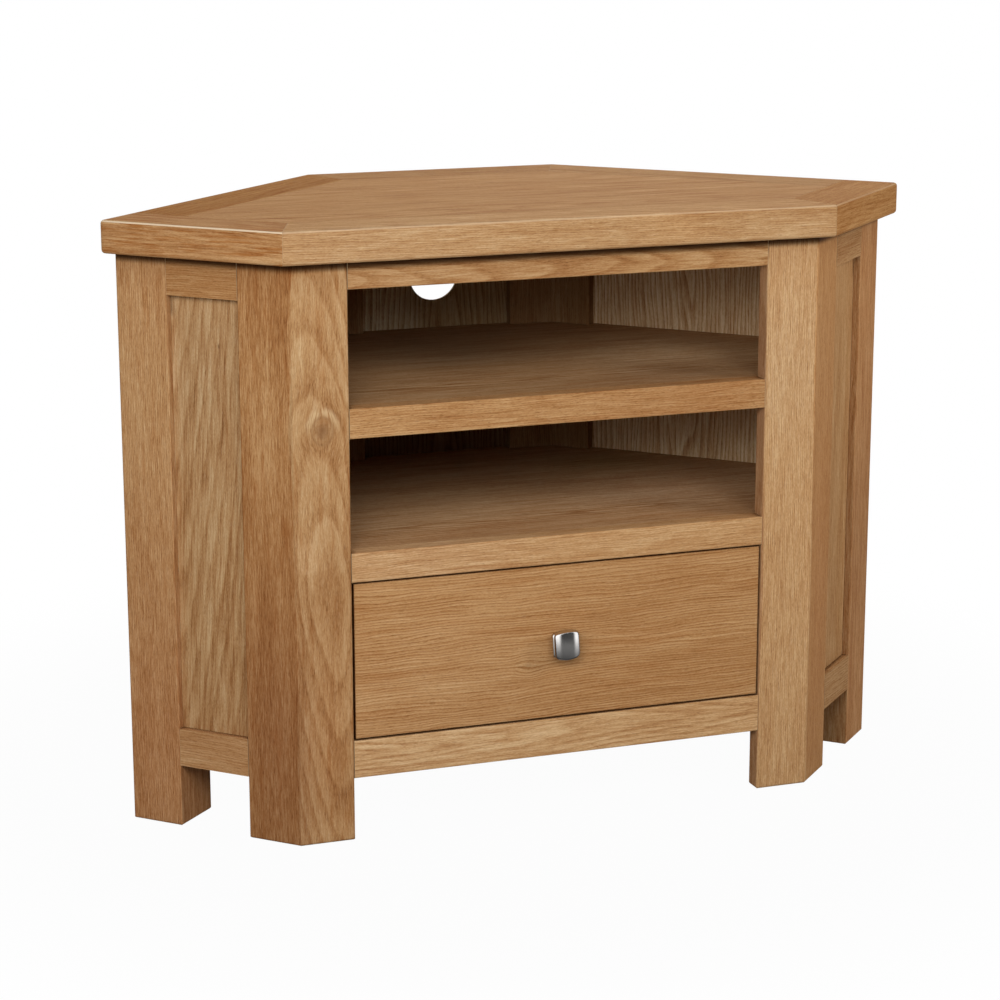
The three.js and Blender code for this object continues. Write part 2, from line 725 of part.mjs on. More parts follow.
const cabinet = new THREE.Group();
cabinet.position.y = -(Math.min(0, drawerFaceY - knobProjection) + topDepth) / 2;
addTop(cabinet);
addPosts(cabinet);
addFrontRails(cabinet);
addSideFrames(cabinet);
addBackFrames(cabinet);
addShelves(cabinet);
addFixingBlocks(cabinet);
addRunners(cabinet);

const drawer = new THREE.Group();
drawer.position.set(0, drawerFaceY, drawerFloor);
cabinet.add(drawer);
addDrawerBox(drawer);

const knobGroup = new THREE.Group();
knobGroup.position.z = drawerFrontHeight / 2;
drawer.add(knobGroup);
add(knobGroup, 'drawer_knob', knob(), nickel);
add(knobGroup, 'knob_screw', knobScrew(), steel);

export default cabinet;
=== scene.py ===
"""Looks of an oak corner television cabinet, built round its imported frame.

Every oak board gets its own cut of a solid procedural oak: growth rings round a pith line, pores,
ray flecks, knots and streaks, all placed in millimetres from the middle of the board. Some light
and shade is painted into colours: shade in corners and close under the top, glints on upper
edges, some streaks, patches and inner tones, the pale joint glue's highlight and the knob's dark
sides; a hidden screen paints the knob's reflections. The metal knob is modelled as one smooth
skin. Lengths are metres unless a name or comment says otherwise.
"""
import logging
import math
from dataclasses import dataclass, replace
from enum import Enum

import bmesh
import bpy
from mathutils import Matrix, Vector


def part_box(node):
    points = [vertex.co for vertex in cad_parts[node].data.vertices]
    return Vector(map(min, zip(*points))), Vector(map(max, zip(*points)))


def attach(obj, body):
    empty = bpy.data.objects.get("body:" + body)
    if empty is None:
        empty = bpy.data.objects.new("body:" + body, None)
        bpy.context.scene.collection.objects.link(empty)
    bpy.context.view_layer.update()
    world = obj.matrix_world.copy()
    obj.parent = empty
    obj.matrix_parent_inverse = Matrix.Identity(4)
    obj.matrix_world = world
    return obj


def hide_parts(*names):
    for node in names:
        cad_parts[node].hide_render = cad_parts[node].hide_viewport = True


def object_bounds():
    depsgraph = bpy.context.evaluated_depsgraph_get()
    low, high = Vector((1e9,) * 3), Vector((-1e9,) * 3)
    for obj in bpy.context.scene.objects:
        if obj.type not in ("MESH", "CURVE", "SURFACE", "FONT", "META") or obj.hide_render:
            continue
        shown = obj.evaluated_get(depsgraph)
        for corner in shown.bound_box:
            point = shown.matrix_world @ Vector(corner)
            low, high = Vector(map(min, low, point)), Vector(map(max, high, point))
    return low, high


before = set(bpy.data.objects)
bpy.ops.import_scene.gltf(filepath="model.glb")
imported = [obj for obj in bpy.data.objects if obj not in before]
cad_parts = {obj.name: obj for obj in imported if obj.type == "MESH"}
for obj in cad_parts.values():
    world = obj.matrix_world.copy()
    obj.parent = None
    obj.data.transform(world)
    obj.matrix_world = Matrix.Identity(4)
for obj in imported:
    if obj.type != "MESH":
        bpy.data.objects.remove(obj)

CAD_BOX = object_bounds()
MILLIMETRES = 1000.0
DIAGONAL = math.sqrt(0.5)
UP = Vector((0, 0, 1))
WHITE = (1, 1, 1, 1)
BLACK = (0, 0, 0, 1)
ENDLESS = 9000.0

Colour = tuple[float, float, float]
Place = tuple[float, float, float]
Spot = tuple[float, float]
Feed = "Wire | float | tuple[float, ...]"

log = logging.getLogger("cabinet")


class Wire:
    """One output of a node. Arithmetic on it adds Math nodes to its recipe."""

    def __init__(self, recipe: "Recipe", socket: bpy.types.NodeSocket) -> None:
        """Wraps a socket of a recipe's tree."""
        self.recipe = recipe
        self.socket = socket

    def __add__(self, other: Feed) -> "Wire":
        """Sum of two values."""
        return self.recipe.maths("ADD", self, other)

    __radd__ = __add__

    def __mul__(self, other: Feed) -> "Wire":
        """Product of two values."""
        return self.recipe.maths("MULTIPLY", self, other)

    __rmul__ = __mul__

    def __sub__(self, other: Feed) -> "Wire":
        """This value less another."""
        return self.recipe.maths("SUBTRACT", self, other)

    def __rsub__(self, other: Feed) -> "Wire":
        """Another value less this one."""
        return self.recipe.maths("SUBTRACT", other, self)

    def __truediv__(self, other: Feed) -> "Wire":
        """This value divided by another."""
        return self.recipe.maths("DIVIDE", self, other)

    def __rtruediv__(self, other: Feed) -> "Wire":
        """Another value divided by this one."""
        return self.recipe.maths("DIVIDE", other, self)

    def __neg__(self) -> "Wire":
        """This value with its sign changed."""
        return self * -1.0


class Recipe:
    """The node tree of one material or of the world."""

    def __init__(self, tree: bpy.types.NodeTree, output_kind: str = "ShaderNodeOutputMaterial") -> None:
        """Empties a tree and starts in it.

        Args:
            tree: the node tree that the recipe fills.
            output_kind: the type of its output node.
        """
        self.tree = tree
        self.output_kind = output_kind
        tree.nodes.clear()

    def node(self, kind: str, settings: dict[str, object] | None = None,
             sockets: dict[str | int, Feed] | None = None, output: str | int = 0) -> Wire:
        """Adds a node, with its settings made before its sockets are fed.

        Args:
            kind: the node's type.
            settings: its own properties; "stops" fills a colour ramp.
            sockets: values or wires by the name or number of the input.
            output: name or number of the output that is handed back.

        Returns:
            The chosen output.
        """
        made = self.tree.nodes.new(kind)
        for name, value in (settings or {}).items():
            if name == "stops":
                self.fill_ramp(made.color_ramp, value)
            else:
                setattr(made, name, value)
        for name, value in (sockets or {}).items():
            if isinstance(value, Wire):
                self.tree.links.new(value.socket, made.inputs[name])
            else:
                made.inputs[name].default_value = value
        return Wire(self, made.outputs[output])

    @staticmethod
    def fill_ramp(ramp: bpy.types.ColorRamp, stops: list[tuple[float, float | Colour]]) -> None:
        """Gives a colour ramp its stops.

        Args:
            ramp: the ramp.
            stops: pairs of a place and a colour or grey level.
        """
        while len(ramp.elements) < len(stops):
            ramp.elements.new(1.0)
        for element, (at, shade) in zip(ramp.elements, stops):
            element.position = at
            element.color = (*shade, 1.0) if isinstance(shade, tuple) else (shade, shade, shade, 1.0)

    def maths(self, operation: str, *values: Feed) -> Wire:
        """One Math node on one to three values."""
        return self.node("ShaderNodeMath", {"operation": operation}, dict(enumerate(values)))

    def vector_maths(self, operation: str, first: Feed, second: Feed, output: str | int = 0) -> Wire:
        """One Vector Math node on two vectors."""
        return self.node("ShaderNodeVectorMath", {"operation": operation}, {0: first, 1: second}, output)

    def vector(self, x: Feed, y: Feed, z: Feed) -> Wire:
        """A vector from three values."""
        return self.node("ShaderNodeCombineXYZ", None, {0: x, 1: y, 2: z})

    def part(self, vector: Wire, axis: int) -> Wire:
        """One of the three values of a vector."""
        return self.node("ShaderNodeSeparateXYZ", None, {0: vector}, axis)

    def blend(self, under: Feed, over: Feed, share: Feed, mode: str = "MIX") -> Wire:
        """Mixes two colours.

        Args:
            under: the colour at share 0.
            over: the colour laid over it.
            share: how much of the upper colour shows.
            mode: the Mix node's blend type.

        Returns:
            The mixed colour.
        """
        under, over = ((*shade, 1.0) if isinstance(shade, tuple) else shade for shade in (under, over))
        return self.node("ShaderNodeMix", {"data_type": "RGBA", "blend_type": mode},
                         {0: share, 6: under, 7: over}, 2)

    def tint(self, colour: Feed, tint: Feed, share: Feed = 1.0) -> Wire:
        """Multiplies a colour by a tint, as far as the share goes."""
        return self.blend(colour, tint, share, "MULTIPLY")

    def noise(self, at: Wire, detail: float = 1.0, rough: float = 0.5) -> Wire:
        """Noise from 0 to 1 at a place that is already in the noise's own cells."""
        return self.node("ShaderNodeTexNoise", {"noise_dimensions": "3D"},
                         {"Vector": at, "Scale": 1.0, "Detail": detail, "Roughness": rough})

    def step(self, value: Feed, low: float, high: float) -> Wire:
        """A smooth step from 0 at low to 1 at high."""
        return self.node("ShaderNodeMapRange", {"interpolation_type": "SMOOTHSTEP"},
                         {"Value": value, "From Min": low, "From Max": high})

    def ramp(self, value: Wire, stops: list[tuple[float, float | Colour]]) -> Wire:
        """A colour or grey level looked up on a ramp."""
        return self.node("ShaderNodeValToRGB", {"stops": stops}, {0: value})

    def surface(self, sockets: dict[str, Feed]) -> None:
        """Ends the recipe in a Principled shader with these sockets."""
        self.end(self.node("ShaderNodeBsdfPrincipled", None, sockets))

    def end(self, shader: Wire) -> None:
        """Joins the last shader to the output."""
        made = self.tree.nodes.new(self.output_kind)
        self.tree.links.new(shader.socket, made.inputs["Surface"])


def new_finish(piece: bpy.types.Object, name: str) -> Recipe:
    """Gives a piece one new material in place of any it has.

    Args:
        piece: the piece.
        name: the material's name.

    Returns:
        The material's empty recipe.
    """
    material = bpy.data.materials.new(name)
    material.use_nodes = True
    piece.data.materials.clear()
    piece.data.materials.append(material)
    return Recipe(material.node_tree)


def put(name: str, data: bpy.types.ID) -> bpy.types.Object:
    """Puts a new object in the scene.

    Args:
        name: its name.
        data: its mesh, lamp or camera.

    Returns:
        The object.
    """
    made = bpy.data.objects.new(name, data)
    bpy.context.scene.collection.objects.link(made)
    return made


def put_mesh(name: str, mesh: bmesh.types.BMesh, smooth: bool = False) -> bpy.types.Object:
    """Turns a finished mesh into an object in the scene.

    Args:
        name: the object's name.
        mesh: the mesh, which is freed.
        smooth: whether its faces shade into each other.

    Returns:
        The object.
    """
    data = bpy.data.meshes.new(name)
    mesh.to_mesh(data)
    mesh.free()
    for face in data.polygons:
        face.use_smooth = smooth
    return put(name, data)


def hide(piece: bpy.types.Object, *rays: str) -> None:
    """Hides a piece from some kinds of ray."""
    for ray in rays:
        setattr(piece, f"visible_{ray}", False)


class Axis(Enum):
    """Directions that boards and their faces run in, in the cabinet's frame."""

    WIDTH = (1.0, 0.0, 0.0)
    DEPTH = (0.0, 1.0, 0.0)
    UPRIGHT = (0.0, 0.0, 1.0)
    RISING = (DIAGONAL, DIAGONAL, 0.0)
    FALLING = (DIAGONAL, -DIAGONAL, 0.0)


@dataclass(frozen=True)
class Knot:
    """A knot, in millimetres across and along the board from its middle.

    Its rim and its halo lie at so many radii from its middle, and are so many radii wide.
    """

    across: float
    along: float
    radius: float = 6.0
    reach: float = 20.0
    push: float = 0.75
    dark: float = 0.6
    stretch: float = 1.2
    halo: float = 0.0
    rim: float = 0.0
    rim_place: Spot = (1.35, 0.16)
    halo_place: Spot = (1.9, 0.4)
    halo_foot: float = -0.2


@dataclass(frozen=True)
class Streak:
    """A stripe of another tone that follows the grain, in millimetres across the board; on some boards it is
    painted shade.
    """

    start: float
    end: float
    tint: Colour
    soft: float = 2.0
    calm: float = 0.0
    busy: float = 0.0


@dataclass(frozen=True)
class Patch:
    """A soft round patch of another tone, painted light and shade on some boards: its middle and half sizes,
    in millimetres across and along.
    """

    across: float
    along: float
    wide: float
    long: float
    tint: Colour


@dataclass(frozen=True)
class Oak:
    """How one oak board is sawn, toned and lacquered. Lengths are millimetres.

    A cell is the width and length of one cell of a noise. A span is where a mark fades in.
    """

    along: Axis = Axis.WIDTH
    face: Axis = Axis.DEPTH
    shades: tuple[Colour, ...] = (
        (0.205, 0.078, 0.024), (0.355, 0.165, 0.060), (0.465, 0.252, 0.105), (0.590, 0.375, 0.188))
    shade_places: tuple[float, ...] = (0.0, 0.35, 0.65, 1.0)
    tone: Colour = (1.0, 1.0, 1.0)
    # Faces that look backwards take the outer tone; on the back boards the inner tone and patches are partly
    # the wood's own and partly painted light and shade.
    outer_tone: Colour | None = None
    outer_span: Spot = (0.1, 0.4)
    level: float = 0.58
    pith_across: float = -120.0
    pith_behind: float = 60.0
    pith_slope: float = 0.03
    pith_lean: float = 0.0
    pith_turn: float | None = None
    pith_round: float = 30.0
    ring_width: float = 2.2
    ring_share: float = 0.16
    ring_cell: Spot = (13.0, 160.0)
    ring_stops: tuple[Spot, ...] = (
        (0.0, 0.2), (0.1, 0.0), (0.3, 0.45), (0.6, 0.85), (0.9, 1.0), (1.0, 0.2))
    unevenness: float = 1.5
    wander: float = 9.0
    wander_length: float = 260.0
    wander_slimness: float = 0.3
    wander_rough: float = 0.45
    ripple: float = 0.6
    ripple_cell: Spot = (9.0, 34.0)
    lean: float = 0.0
    fibre_share: float = 1.1
    fibre_width: float = 0.85
    fibre_length: float = 26.0
    fibre_rough: float = 0.6
    speck_share: float = 0.5
    speck_cell: Spot = (0.55, 2.4)
    band_share: float = 0.35
    band_cell: Spot = (3.4, 95.0)
    cloud_share: float = 0.5
    cloud_cell: Spot = (17.0, 150.0)
    pore_share: float = 0.45
    pore_width: float = 0.7
    pore_length: float = 6.0
    pore_span: Spot = (0.55, 0.68)
    pore_loss: float = 0.6
    pore_tint: Colour = (0.42, 0.30, 0.22)
    fleck_share: float = 0.12
    fleck_cell: Spot = (1.3, 9.0)
    fleck_span: Spot = (0.58, 0.72)
    fleck_colour: Colour = (0.68, 0.47, 0.27)
    rust_share: float = 0.35
    rust_width: float = 4.5
    rust_length: float = 70.0
    rust_start: float = 0.52
    rust_fade: float = 0.2
    rust_tint: Colour = (0.80, 0.62, 0.46)
    halo_span: Spot = (0.3, 0.6)
    halo_colour: Colour = (0.66, 0.46, 0.25)
    heart_colour: Colour = (0.22, 0.105, 0.045)
    end_shade: float = 0.8
    end_span: Spot = (0.8, 0.95)
    end_tint: Colour = (0.60, 0.48, 0.38)
    # Painted highlight: the glint settings lighten the colour on rounded upper edges, standing in for the
    # light they catch.
    glint: float = 0.0
    glint_span: Spot = (0.25, 0.6)
    glint_top: Spot = (0.9, 0.985)
    glint_colour: Colour = (0.84, 0.68, 0.48)
    # Painted shade: the corner settings darken the colour wherever ambient occlusion finds another surface
    # close by, in corners, creases and gaps.
    corner_shade: float = 0.9
    corner_reach: float = 7.0
    corner_span: Spot = (0.56, 0.86)
    corner_dark: Colour = (0.16, 0.11, 0.08)
    corner_start: float | None = None
    corner_fade: float = 10.0
    # Painted shadow of the top: the eaves settings darken a soft band below it, and the slab shadow settings
    # a dark line right under it.
    eaves_shade: float = 0.0
    eaves_span: Spot = (-22.0, 15.0)
    eaves_tint: Colour = (0.55, 0.50, 0.46)
    slab_shadow_span: Spot = (9.0, 16.0)
    slab_shadow_tint: Colour = (0.21, 0.18, 0.16)
    staves: float = 0.0
    stave_shift: float = 613.0
    stave_turn: float = 12.9
    stave_depth: float = 40.0
    lacquer_roughness: float = 0.58
    lacquer_gloss: float = 0.02
    pore_roughness: float = 0.2
    fibre_roughness: float = 0.15
    fibre_relief: float = 0.3
    relief_strength: float = 0.2
    relief_depth: float = 0.4
    knots: tuple[Knot, ...] = ()
    streaks: tuple[Streak, ...] = ()
    patches: tuple[Patch, ...] = ()
    seed: float = 0.0

    def dress(self, node: bpy.types.Object) -> None:
        """Gives a board its own material."""
        low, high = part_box(node.name)
        Grain(self, new_finish(node, f"oak_{node.name}"), (low + high) / 2).finish()


class Grain:
    """The nodes of one oak board."""

    def __init__(self, oak: Oak, recipe: Recipe, middle: Vector) -> None:
        """Finds the places in the board, in millimetres from its middle, and its grain there.

        Args:
            oak: how the board is cut.
            recipe: the recipe of the board's material.
            middle: the middle of the board's box.
        """
        self.oak = oak
        self.recipe = recipe
        self.facing = recipe.node("ShaderNodeNewGeometry", output="Normal")
        self.outer = recipe.step(recipe.part(self.facing, 1), *oak.outer_span) if oak.outer_tone else 0.0
        self.at = recipe.node("ShaderNodeTexCoord", output="Object")
        way, into = Vector(oak.along.value), Vector(oak.face.value)
        self.across, self.behind, self.along = (
            recipe.vector_maths("DOT_PRODUCT", self.at, tuple(axis * MILLIMETRES), "Value")
            - axis.dot(middle) * MILLIMETRES for axis in (into.cross(way), into, way))
        self.spot = self.across, self.along
        if oak.staves:
            stave = recipe.maths("FLOOR", self.across / oak.staves)
            self.along = self.along + stave * oak.stave_shift
            self.behind = self.behind + recipe.maths("SINE", stave * oak.stave_turn) * oak.stave_depth
        self.heart: Wire | float = 0.0
        self.halo: Wire | float = 0.0
        for knot in oak.knots:
            self.part_round(knot)
        self.drift()
        self.late = recipe.ramp(self.rings(), oak.ring_stops)
        self.fibre = self.noise((oak.fibre_width, oak.fibre_length), 2, oak.fibre_rough)
        dashes = self.noise((oak.pore_width, oak.pore_length))
        self.pores = recipe.step(dashes, *oak.pore_span) * (1.0 - self.late * oak.pore_loss)
        self.stripes = [
            (streak, recipe.step(self.across, streak.start - streak.soft, streak.start + streak.soft)
             * (1.0 - recipe.step(self.across, streak.end - streak.soft, streak.end + streak.soft)))
            for streak in oak.streaks]

    def noise(self, cell: Spot, detail: float = 1.0, rough: float = 0.5, sign: float = 1.0) -> Wire:
        """Noise from 0 to 1 in cells that lie along the grain.

        Args:
            cell: the width and length of a cell.
            detail: how many layers the noise has.
            rough: how strong its finer layers are.
            sign: which way the board's seed moves it.

        Returns:
            The noise.
        """
        width, length = cell
        along = self.along / length + self.oak.seed * sign
        at = self.recipe.vector(self.across / width, self.behind / width, along)
        return self.recipe.noise(at, detail, rough)

    def bell(self, value: Wire, place: float, wide: float) -> Wire:
        """A bell curve that is 1 where a value is at its place."""
        off = (value - place) / wide
        return self.recipe.maths("EXPONENT", -(off * off))

    def part_round(self, knot: Knot) -> None:
        """Parts the grain round a knot, and adds its dark heart and pale halo.

        Args:
            knot: the knot.
        """
        side = self.across - knot.across
        up = (self.along - knot.along) / knot.stretch
        square = side * side + up * up
        near, heart = (self.recipe.maths("EXPONENT", square * (-1.0 / size ** 2))
                       for size in (knot.reach, knot.radius))
        self.across = self.across - side * near * knot.push
        self.heart = heart * knot.dark + self.heart
        radii = self.recipe.maths("SQRT", square) / knot.radius
        if knot.rim:
            self.heart = self.bell(radii, *knot.rim_place) * knot.rim + self.heart
        if knot.halo:
            crescent = self.recipe.step(up, knot.radius * knot.halo_foot, knot.radius)
            self.halo = self.bell(radii, *knot.halo_place) * crescent * knot.halo + self.halo

    def drift(self) -> None:
        """Lets the grain drift from side to side along the board."""
        oak, recipe = self.oak, self.recipe
        slim, (wide, long) = oak.wander_length * oak.wander_slimness, oak.ripple_cell
        across, behind, along = self.across, self.behind, self.along
        slow = recipe.vector(across / slim, behind / slim + oak.seed, along / oak.wander_length)
        quick = recipe.vector(across / wide, behind / wide + oak.seed, along / long)
        drift, ripple = recipe.noise(slow, 2, oak.wander_rough), recipe.noise(quick)
        self.across = (across - along * oak.lean + (drift - 0.5) * (oak.wander * 2)
                       + (ripple - 0.5) * (oak.ripple * 2))

    def rings(self) -> Wire:
        """Where a place lies between two growth rings.

        Returns:
            The place, from 0 to 1.
        """
        oak, along = self.oak, self.along
        wide, long = oak.ring_cell
        side = self.across - oak.pith_across
        if oak.pith_lean:
            side = side - along * oak.pith_lean
        if oak.pith_turn is not None:
            off = along - oak.pith_turn
            along = self.recipe.maths("SQRT", off * off + oak.pith_round ** 2)
        depth = self.behind + along * oak.pith_slope + oak.pith_behind
        radius = self.recipe.maths("SQRT", side * side + depth * depth)
        at = self.recipe.vector(self.across / wide, self.behind / wide, along / long + oak.seed)
        uneven = self.recipe.noise(at) * oak.unevenness
        return self.recipe.maths("FRACT", radius / oak.ring_width + uneven)

    def wood(self) -> Wire:
        """The wood's own colour, from its rings, fibres, specks, bands and clouds.

        Returns:
            The colour.
        """
        oak = self.oak
        ring_share: Wire | float = oak.ring_share
        fibre_share: Wire | float = oak.fibre_share
        for streak, share in self.stripes:
            if streak.calm:
                ring_share = (1.0 - share * streak.calm) * ring_share
            if streak.busy:
                fibre_share = (1.0 + share * streak.busy) * fibre_share
        shade = ((self.late - 0.5) * ring_share + (self.fibre - 0.5) * fibre_share
                 + (self.noise(oak.speck_cell) - 0.5) * oak.speck_share
                 + (self.noise(oak.band_cell) - 0.5) * oak.band_share
                 + (self.noise(oak.cloud_cell, 2) - 0.5) * oak.cloud_share + oak.level)
        return self.recipe.ramp(shade, list(zip(oak.shade_places, oak.shades)))

    def marked(self, colour: Wire) -> Wire:
        """Adds pores, flecks, rust, streaks, patches and knots; some streaks and patches are painted light
        and shade.

        Args:
            colour: the wood's own colour.

        Returns:
            The colour with its marks.
        """
        oak, recipe = self.oak, self.recipe
        colour = recipe.tint(colour, oak.pore_tint, self.pores * oak.pore_share)
        fleck = recipe.step(self.noise(oak.fleck_cell), *oak.fleck_span)
        colour = recipe.blend(colour, oak.fleck_colour, fleck * oak.fleck_share)
        rust = self.noise((oak.rust_width, oak.rust_length), 2, sign=-1)
        rusty = recipe.step(rust, oak.rust_start, oak.rust_start + oak.rust_fade)
        colour = recipe.tint(colour, oak.rust_tint, rusty * oak.rust_share)
        # Streaks and patches: the wood's own tones, and on some boards painted light and shade.
        for streak, share in self.stripes:
            colour = recipe.tint(colour, streak.tint, share)
        for patch in oak.patches:
            side = (self.spot[0] - patch.across) / patch.wide
            up = (self.spot[1] - patch.along) / patch.long
            share = recipe.maths("EXPONENT", -(side * side + up * up))
            colour = recipe.tint(colour, patch.tint, share * (1.0 - self.outer) if oak.outer_tone else share)
        if oak.knots:
            halo = self.halo * recipe.step(self.fibre, *oak.halo_span)
            colour = recipe.blend(colour, oak.halo_colour, halo)
            colour = recipe.blend(colour, oak.heart_colour, recipe.maths("MINIMUM", self.heart, 1.0))
        return colour

    def toned(self, colour: Wire) -> Wire:
        """Gives the board its tone, its darker end grain and a painted highlight, the glint, on its upper
        edges.

        Args:
            colour: the colour with its marks.

        Returns:
            The toned colour.
        """
        oak, recipe = self.oak, self.recipe
        # Inner faces and faces that look backwards can take different tones; the inner ones are partly
        # painted light and shade.
        tone = recipe.blend(oak.tone, oak.outer_tone, self.outer) if oak.outer_tone else oak.tone
        colour = recipe.tint(colour, tone)
        end = recipe.vector_maths("DOT_PRODUCT", self.facing, oak.along.value, "Value")
        end_grain = recipe.step(recipe.maths("ABSOLUTE", end), *oak.end_span)
        colour = recipe.tint(colour, oak.end_tint, end_grain * oak.end_shade)
        # Painted highlight: pale colour on the rounded upper edges, where light would catch them.
        if oak.glint:
            lift = recipe.part(self.facing, 2)
            arris = recipe.step(lift, *oak.glint_span) * (1.0 - recipe.step(lift, *oak.glint_top))
            colour = recipe.blend(colour, oak.glint_colour, arris * oak.glint)
        return colour

    def shaded(self, colour: Wire) -> Wire:
        """Paints shade into the colour: darker in inner corners, and the top's painted shadow on the wood
        close under it.

        Args:
            colour: the toned colour.

        Returns:
            The board's last colour.
        """
        oak, recipe = self.oak, self.recipe
        # Painted shade in corners, creases and gaps, found by ambient occlusion.
        open_air = recipe.node("ShaderNodeAmbientOcclusion", {"samples": 2}, {
            "Distance": oak.corner_reach / MILLIMETRES}, "AO")
        nook = (1.0 - recipe.step(open_air, *oak.corner_span)) * oak.corner_shade
        if oak.corner_start is not None:
            above = recipe.part(self.at, 2) * MILLIMETRES - oak.corner_start
            nook = nook * recipe.step(above, 0.0, oak.corner_fade)
            if oak.eaves_shade:
                # The top's painted shadow: a soft band, then a dark line right under the top.
                eaves = recipe.step(above, *oak.eaves_span) * oak.eaves_shade
                colour = recipe.tint(colour, oak.eaves_tint, eaves)
                colour = recipe.tint(colour, oak.slab_shadow_tint, recipe.step(above, *oak.slab_shadow_span))
        return recipe.tint(colour, oak.corner_dark, nook)

    def finish(self) -> None:
        """Lays the lacquer, duller and sunk a little over the pores."""
        oak, pores, fibre = self.oak, self.pores, self.fibre
        relief = (1.0 - pores) * (1.0 - oak.fibre_relief) + fibre * oak.fibre_relief
        normal = self.recipe.node("ShaderNodeBump", None, {
            "Height": relief, "Strength": oak.relief_strength, "Distance": oak.relief_depth / MILLIMETRES})
        rough = pores * oak.pore_roughness + (fibre - 0.5) * oak.fibre_roughness + oak.lacquer_roughness
        self.recipe.surface({
            "Base Color": self.shaded(self.toned(self.marked(self.wood()))), "Roughness": rough,
            "Normal": normal, "Specular IOR Level": oak.lacquer_gloss})


@dataclass(frozen=True)
class Metal:
    """A plated metal, with fine wear in its gloss, and painted shade on its sides where it has a sides
    colour.
    """

    colour: Colour
    roughness: float
    wear: float
    worn: float = 0.85
    fine_scale: Place = (700.0, 700.0, 5000.0)
    cloud_scale: Place = (120.0, 120.0, 120.0)
    sides: Colour | None = None
    side_span: Spot = (0.7, 0.88)
    under_span: Spot = (0.2, 0.45)
    rim: float = 0.0
    rim_span: Spot = (-0.0006, 0.0002)

    def dress(self, piece: bpy.types.Object) -> None:
        """Gives a piece this metal.

        Args:
            piece: the piece; its sides and underside take the metal's painted shade, if it has one, up to
                the rim.
        """
        recipe = new_finish(piece, f"metal_{piece.name}")
        at = recipe.node("ShaderNodeTexCoord", output="Object")
        fine, cloud = (recipe.noise(recipe.vector_maths("MULTIPLY", at, scale), 2)
                       for scale in (self.fine_scale, self.cloud_scale))
        worn = tuple(c * self.worn for c in self.colour)
        colour = recipe.blend(self.colour, worn, cloud * 0.5 + fine * 0.5)
        # Painted shade: the sides and underside, in front of the rim, take a dark colour for the dark that
        # they reflect.
        if self.sides:
            facing = recipe.node("ShaderNodeNewGeometry", output="Normal")
            side = recipe.step(recipe.maths("ABSOLUTE", recipe.part(facing, 0)), *self.side_span)
            under = recipe.step(-recipe.part(facing, 2), *self.under_span)
            front = 1.0 - recipe.step(recipe.part(at, 1), *(self.rim + edge for edge in self.rim_span))
            colour = recipe.blend(colour, self.sides, recipe.maths("MAXIMUM", side, under) * front)
        recipe.surface({
            "Base Color": colour, "Roughness": (fine - 0.5) * self.wear + self.roughness, "Metallic": 1.0})


@dataclass(frozen=True)
class GlueAndHighlight:
    """Dried joint glue, the amber line that shows between two boards; its pale colour also paints the
    highlight that eased edges catch at the joints.
    """

    colour: Colour = (0.50, 0.34, 0.19)
    dark: float = 0.7
    roughness: float = 0.4
    blot_roughness: float = 0.2
    gloss: float = 0.05
    blot_scale: Place = (160.0, 160.0, 160.0)

    def dress(self, piece: bpy.types.Object) -> None:
        """Gives a piece this glue, with its painted joint highlight.

        Args:
            piece: the piece.
        """
        recipe = new_finish(piece, "glue")
        at = recipe.node("ShaderNodeTexCoord", output="Object")
        blot = recipe.noise(recipe.vector_maths("MULTIPLY", at, self.blot_scale), 2)
        # Partly painted highlight: the glue is paler than the wood, like the light that eased joint edges
        # catch.
        colour = recipe.blend(self.colour, tuple(c * self.dark for c in self.colour), blot)
        recipe.surface({"Base Color": colour, "Roughness": blot * self.blot_roughness + self.roughness,
                        "Specular IOR Level": self.gloss})


# The nickel's sides colour paints the knob's sides and underside dark, as shade.
NICKEL = Metal(colour=(0.66, 0.64, 0.62), roughness=0.16, wear=0.06, sides=(0.16, 0.13, 0.11))
ZINC = Metal(colour=(0.55, 0.56, 0.58), roughness=0.38, wear=0.1)

RAIL = Oak()
# Every board takes painted shade in its corners; on top rails and posts it also paints the top's shadow
# close under it, and on panels it acts only near the top rail.
TOP_RAIL = Oak(corner_shade=0.5, corner_reach=10, corner_dark=(0.05, 0.037, 0.03), eaves_shade=0.3,
               corner_start=548)
POST = replace(TOP_RAIL, along=Axis.UPRIGHT, pith_across=-150, pith_behind=40)
PANEL = Oak(along=Axis.UPRIGHT, tone=(0.93, 0.96, 1), corner_shade=0.6, corner_start=505)
TOP_BOARD = Oak(face=Axis.UPRIGHT, lacquer_gloss=0.01)
INSIDE = Oak(lacquer_roughness=0.65, corner_shade=0.4)
BACK_POST = replace(POST, outer_tone=(1, 1, 1))
BACK_PANEL = replace(PANEL, ring_share=0.5, ring_width=4.6, unevenness=2.4, wander=14,
                     outer_tone=(1.08, 1.10, 1.12))
# How a level board lies that runs along one diagonal and faces the other.
FALLING = {"along": Axis.FALLING, "face": Axis.RISING}
RISING = {"along": Axis.RISING, "face": Axis.FALLING}


def mirrored(name: str) -> tuple[str, str]:
    """The names of a right-hand piece and of its mirror image."""
    return f"right_{name}", f"left_{name}"


@dataclass
class Assembly:
    """A group of boards that are dressed by name, with seeds that count up from the first."""

    first_seed: int = 0

    def boards(self) -> dict[str, Oak]:
        """Each node's cut of oak."""
        raise NotImplementedError

    def build(self) -> None:
        """Dresses the group's boards and reports them."""
        for number, (name, oak) in enumerate(self.boards().items()):
            replace(oak, seed=self.first_seed + number).dress(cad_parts[name])
            log.info("board %s", name)


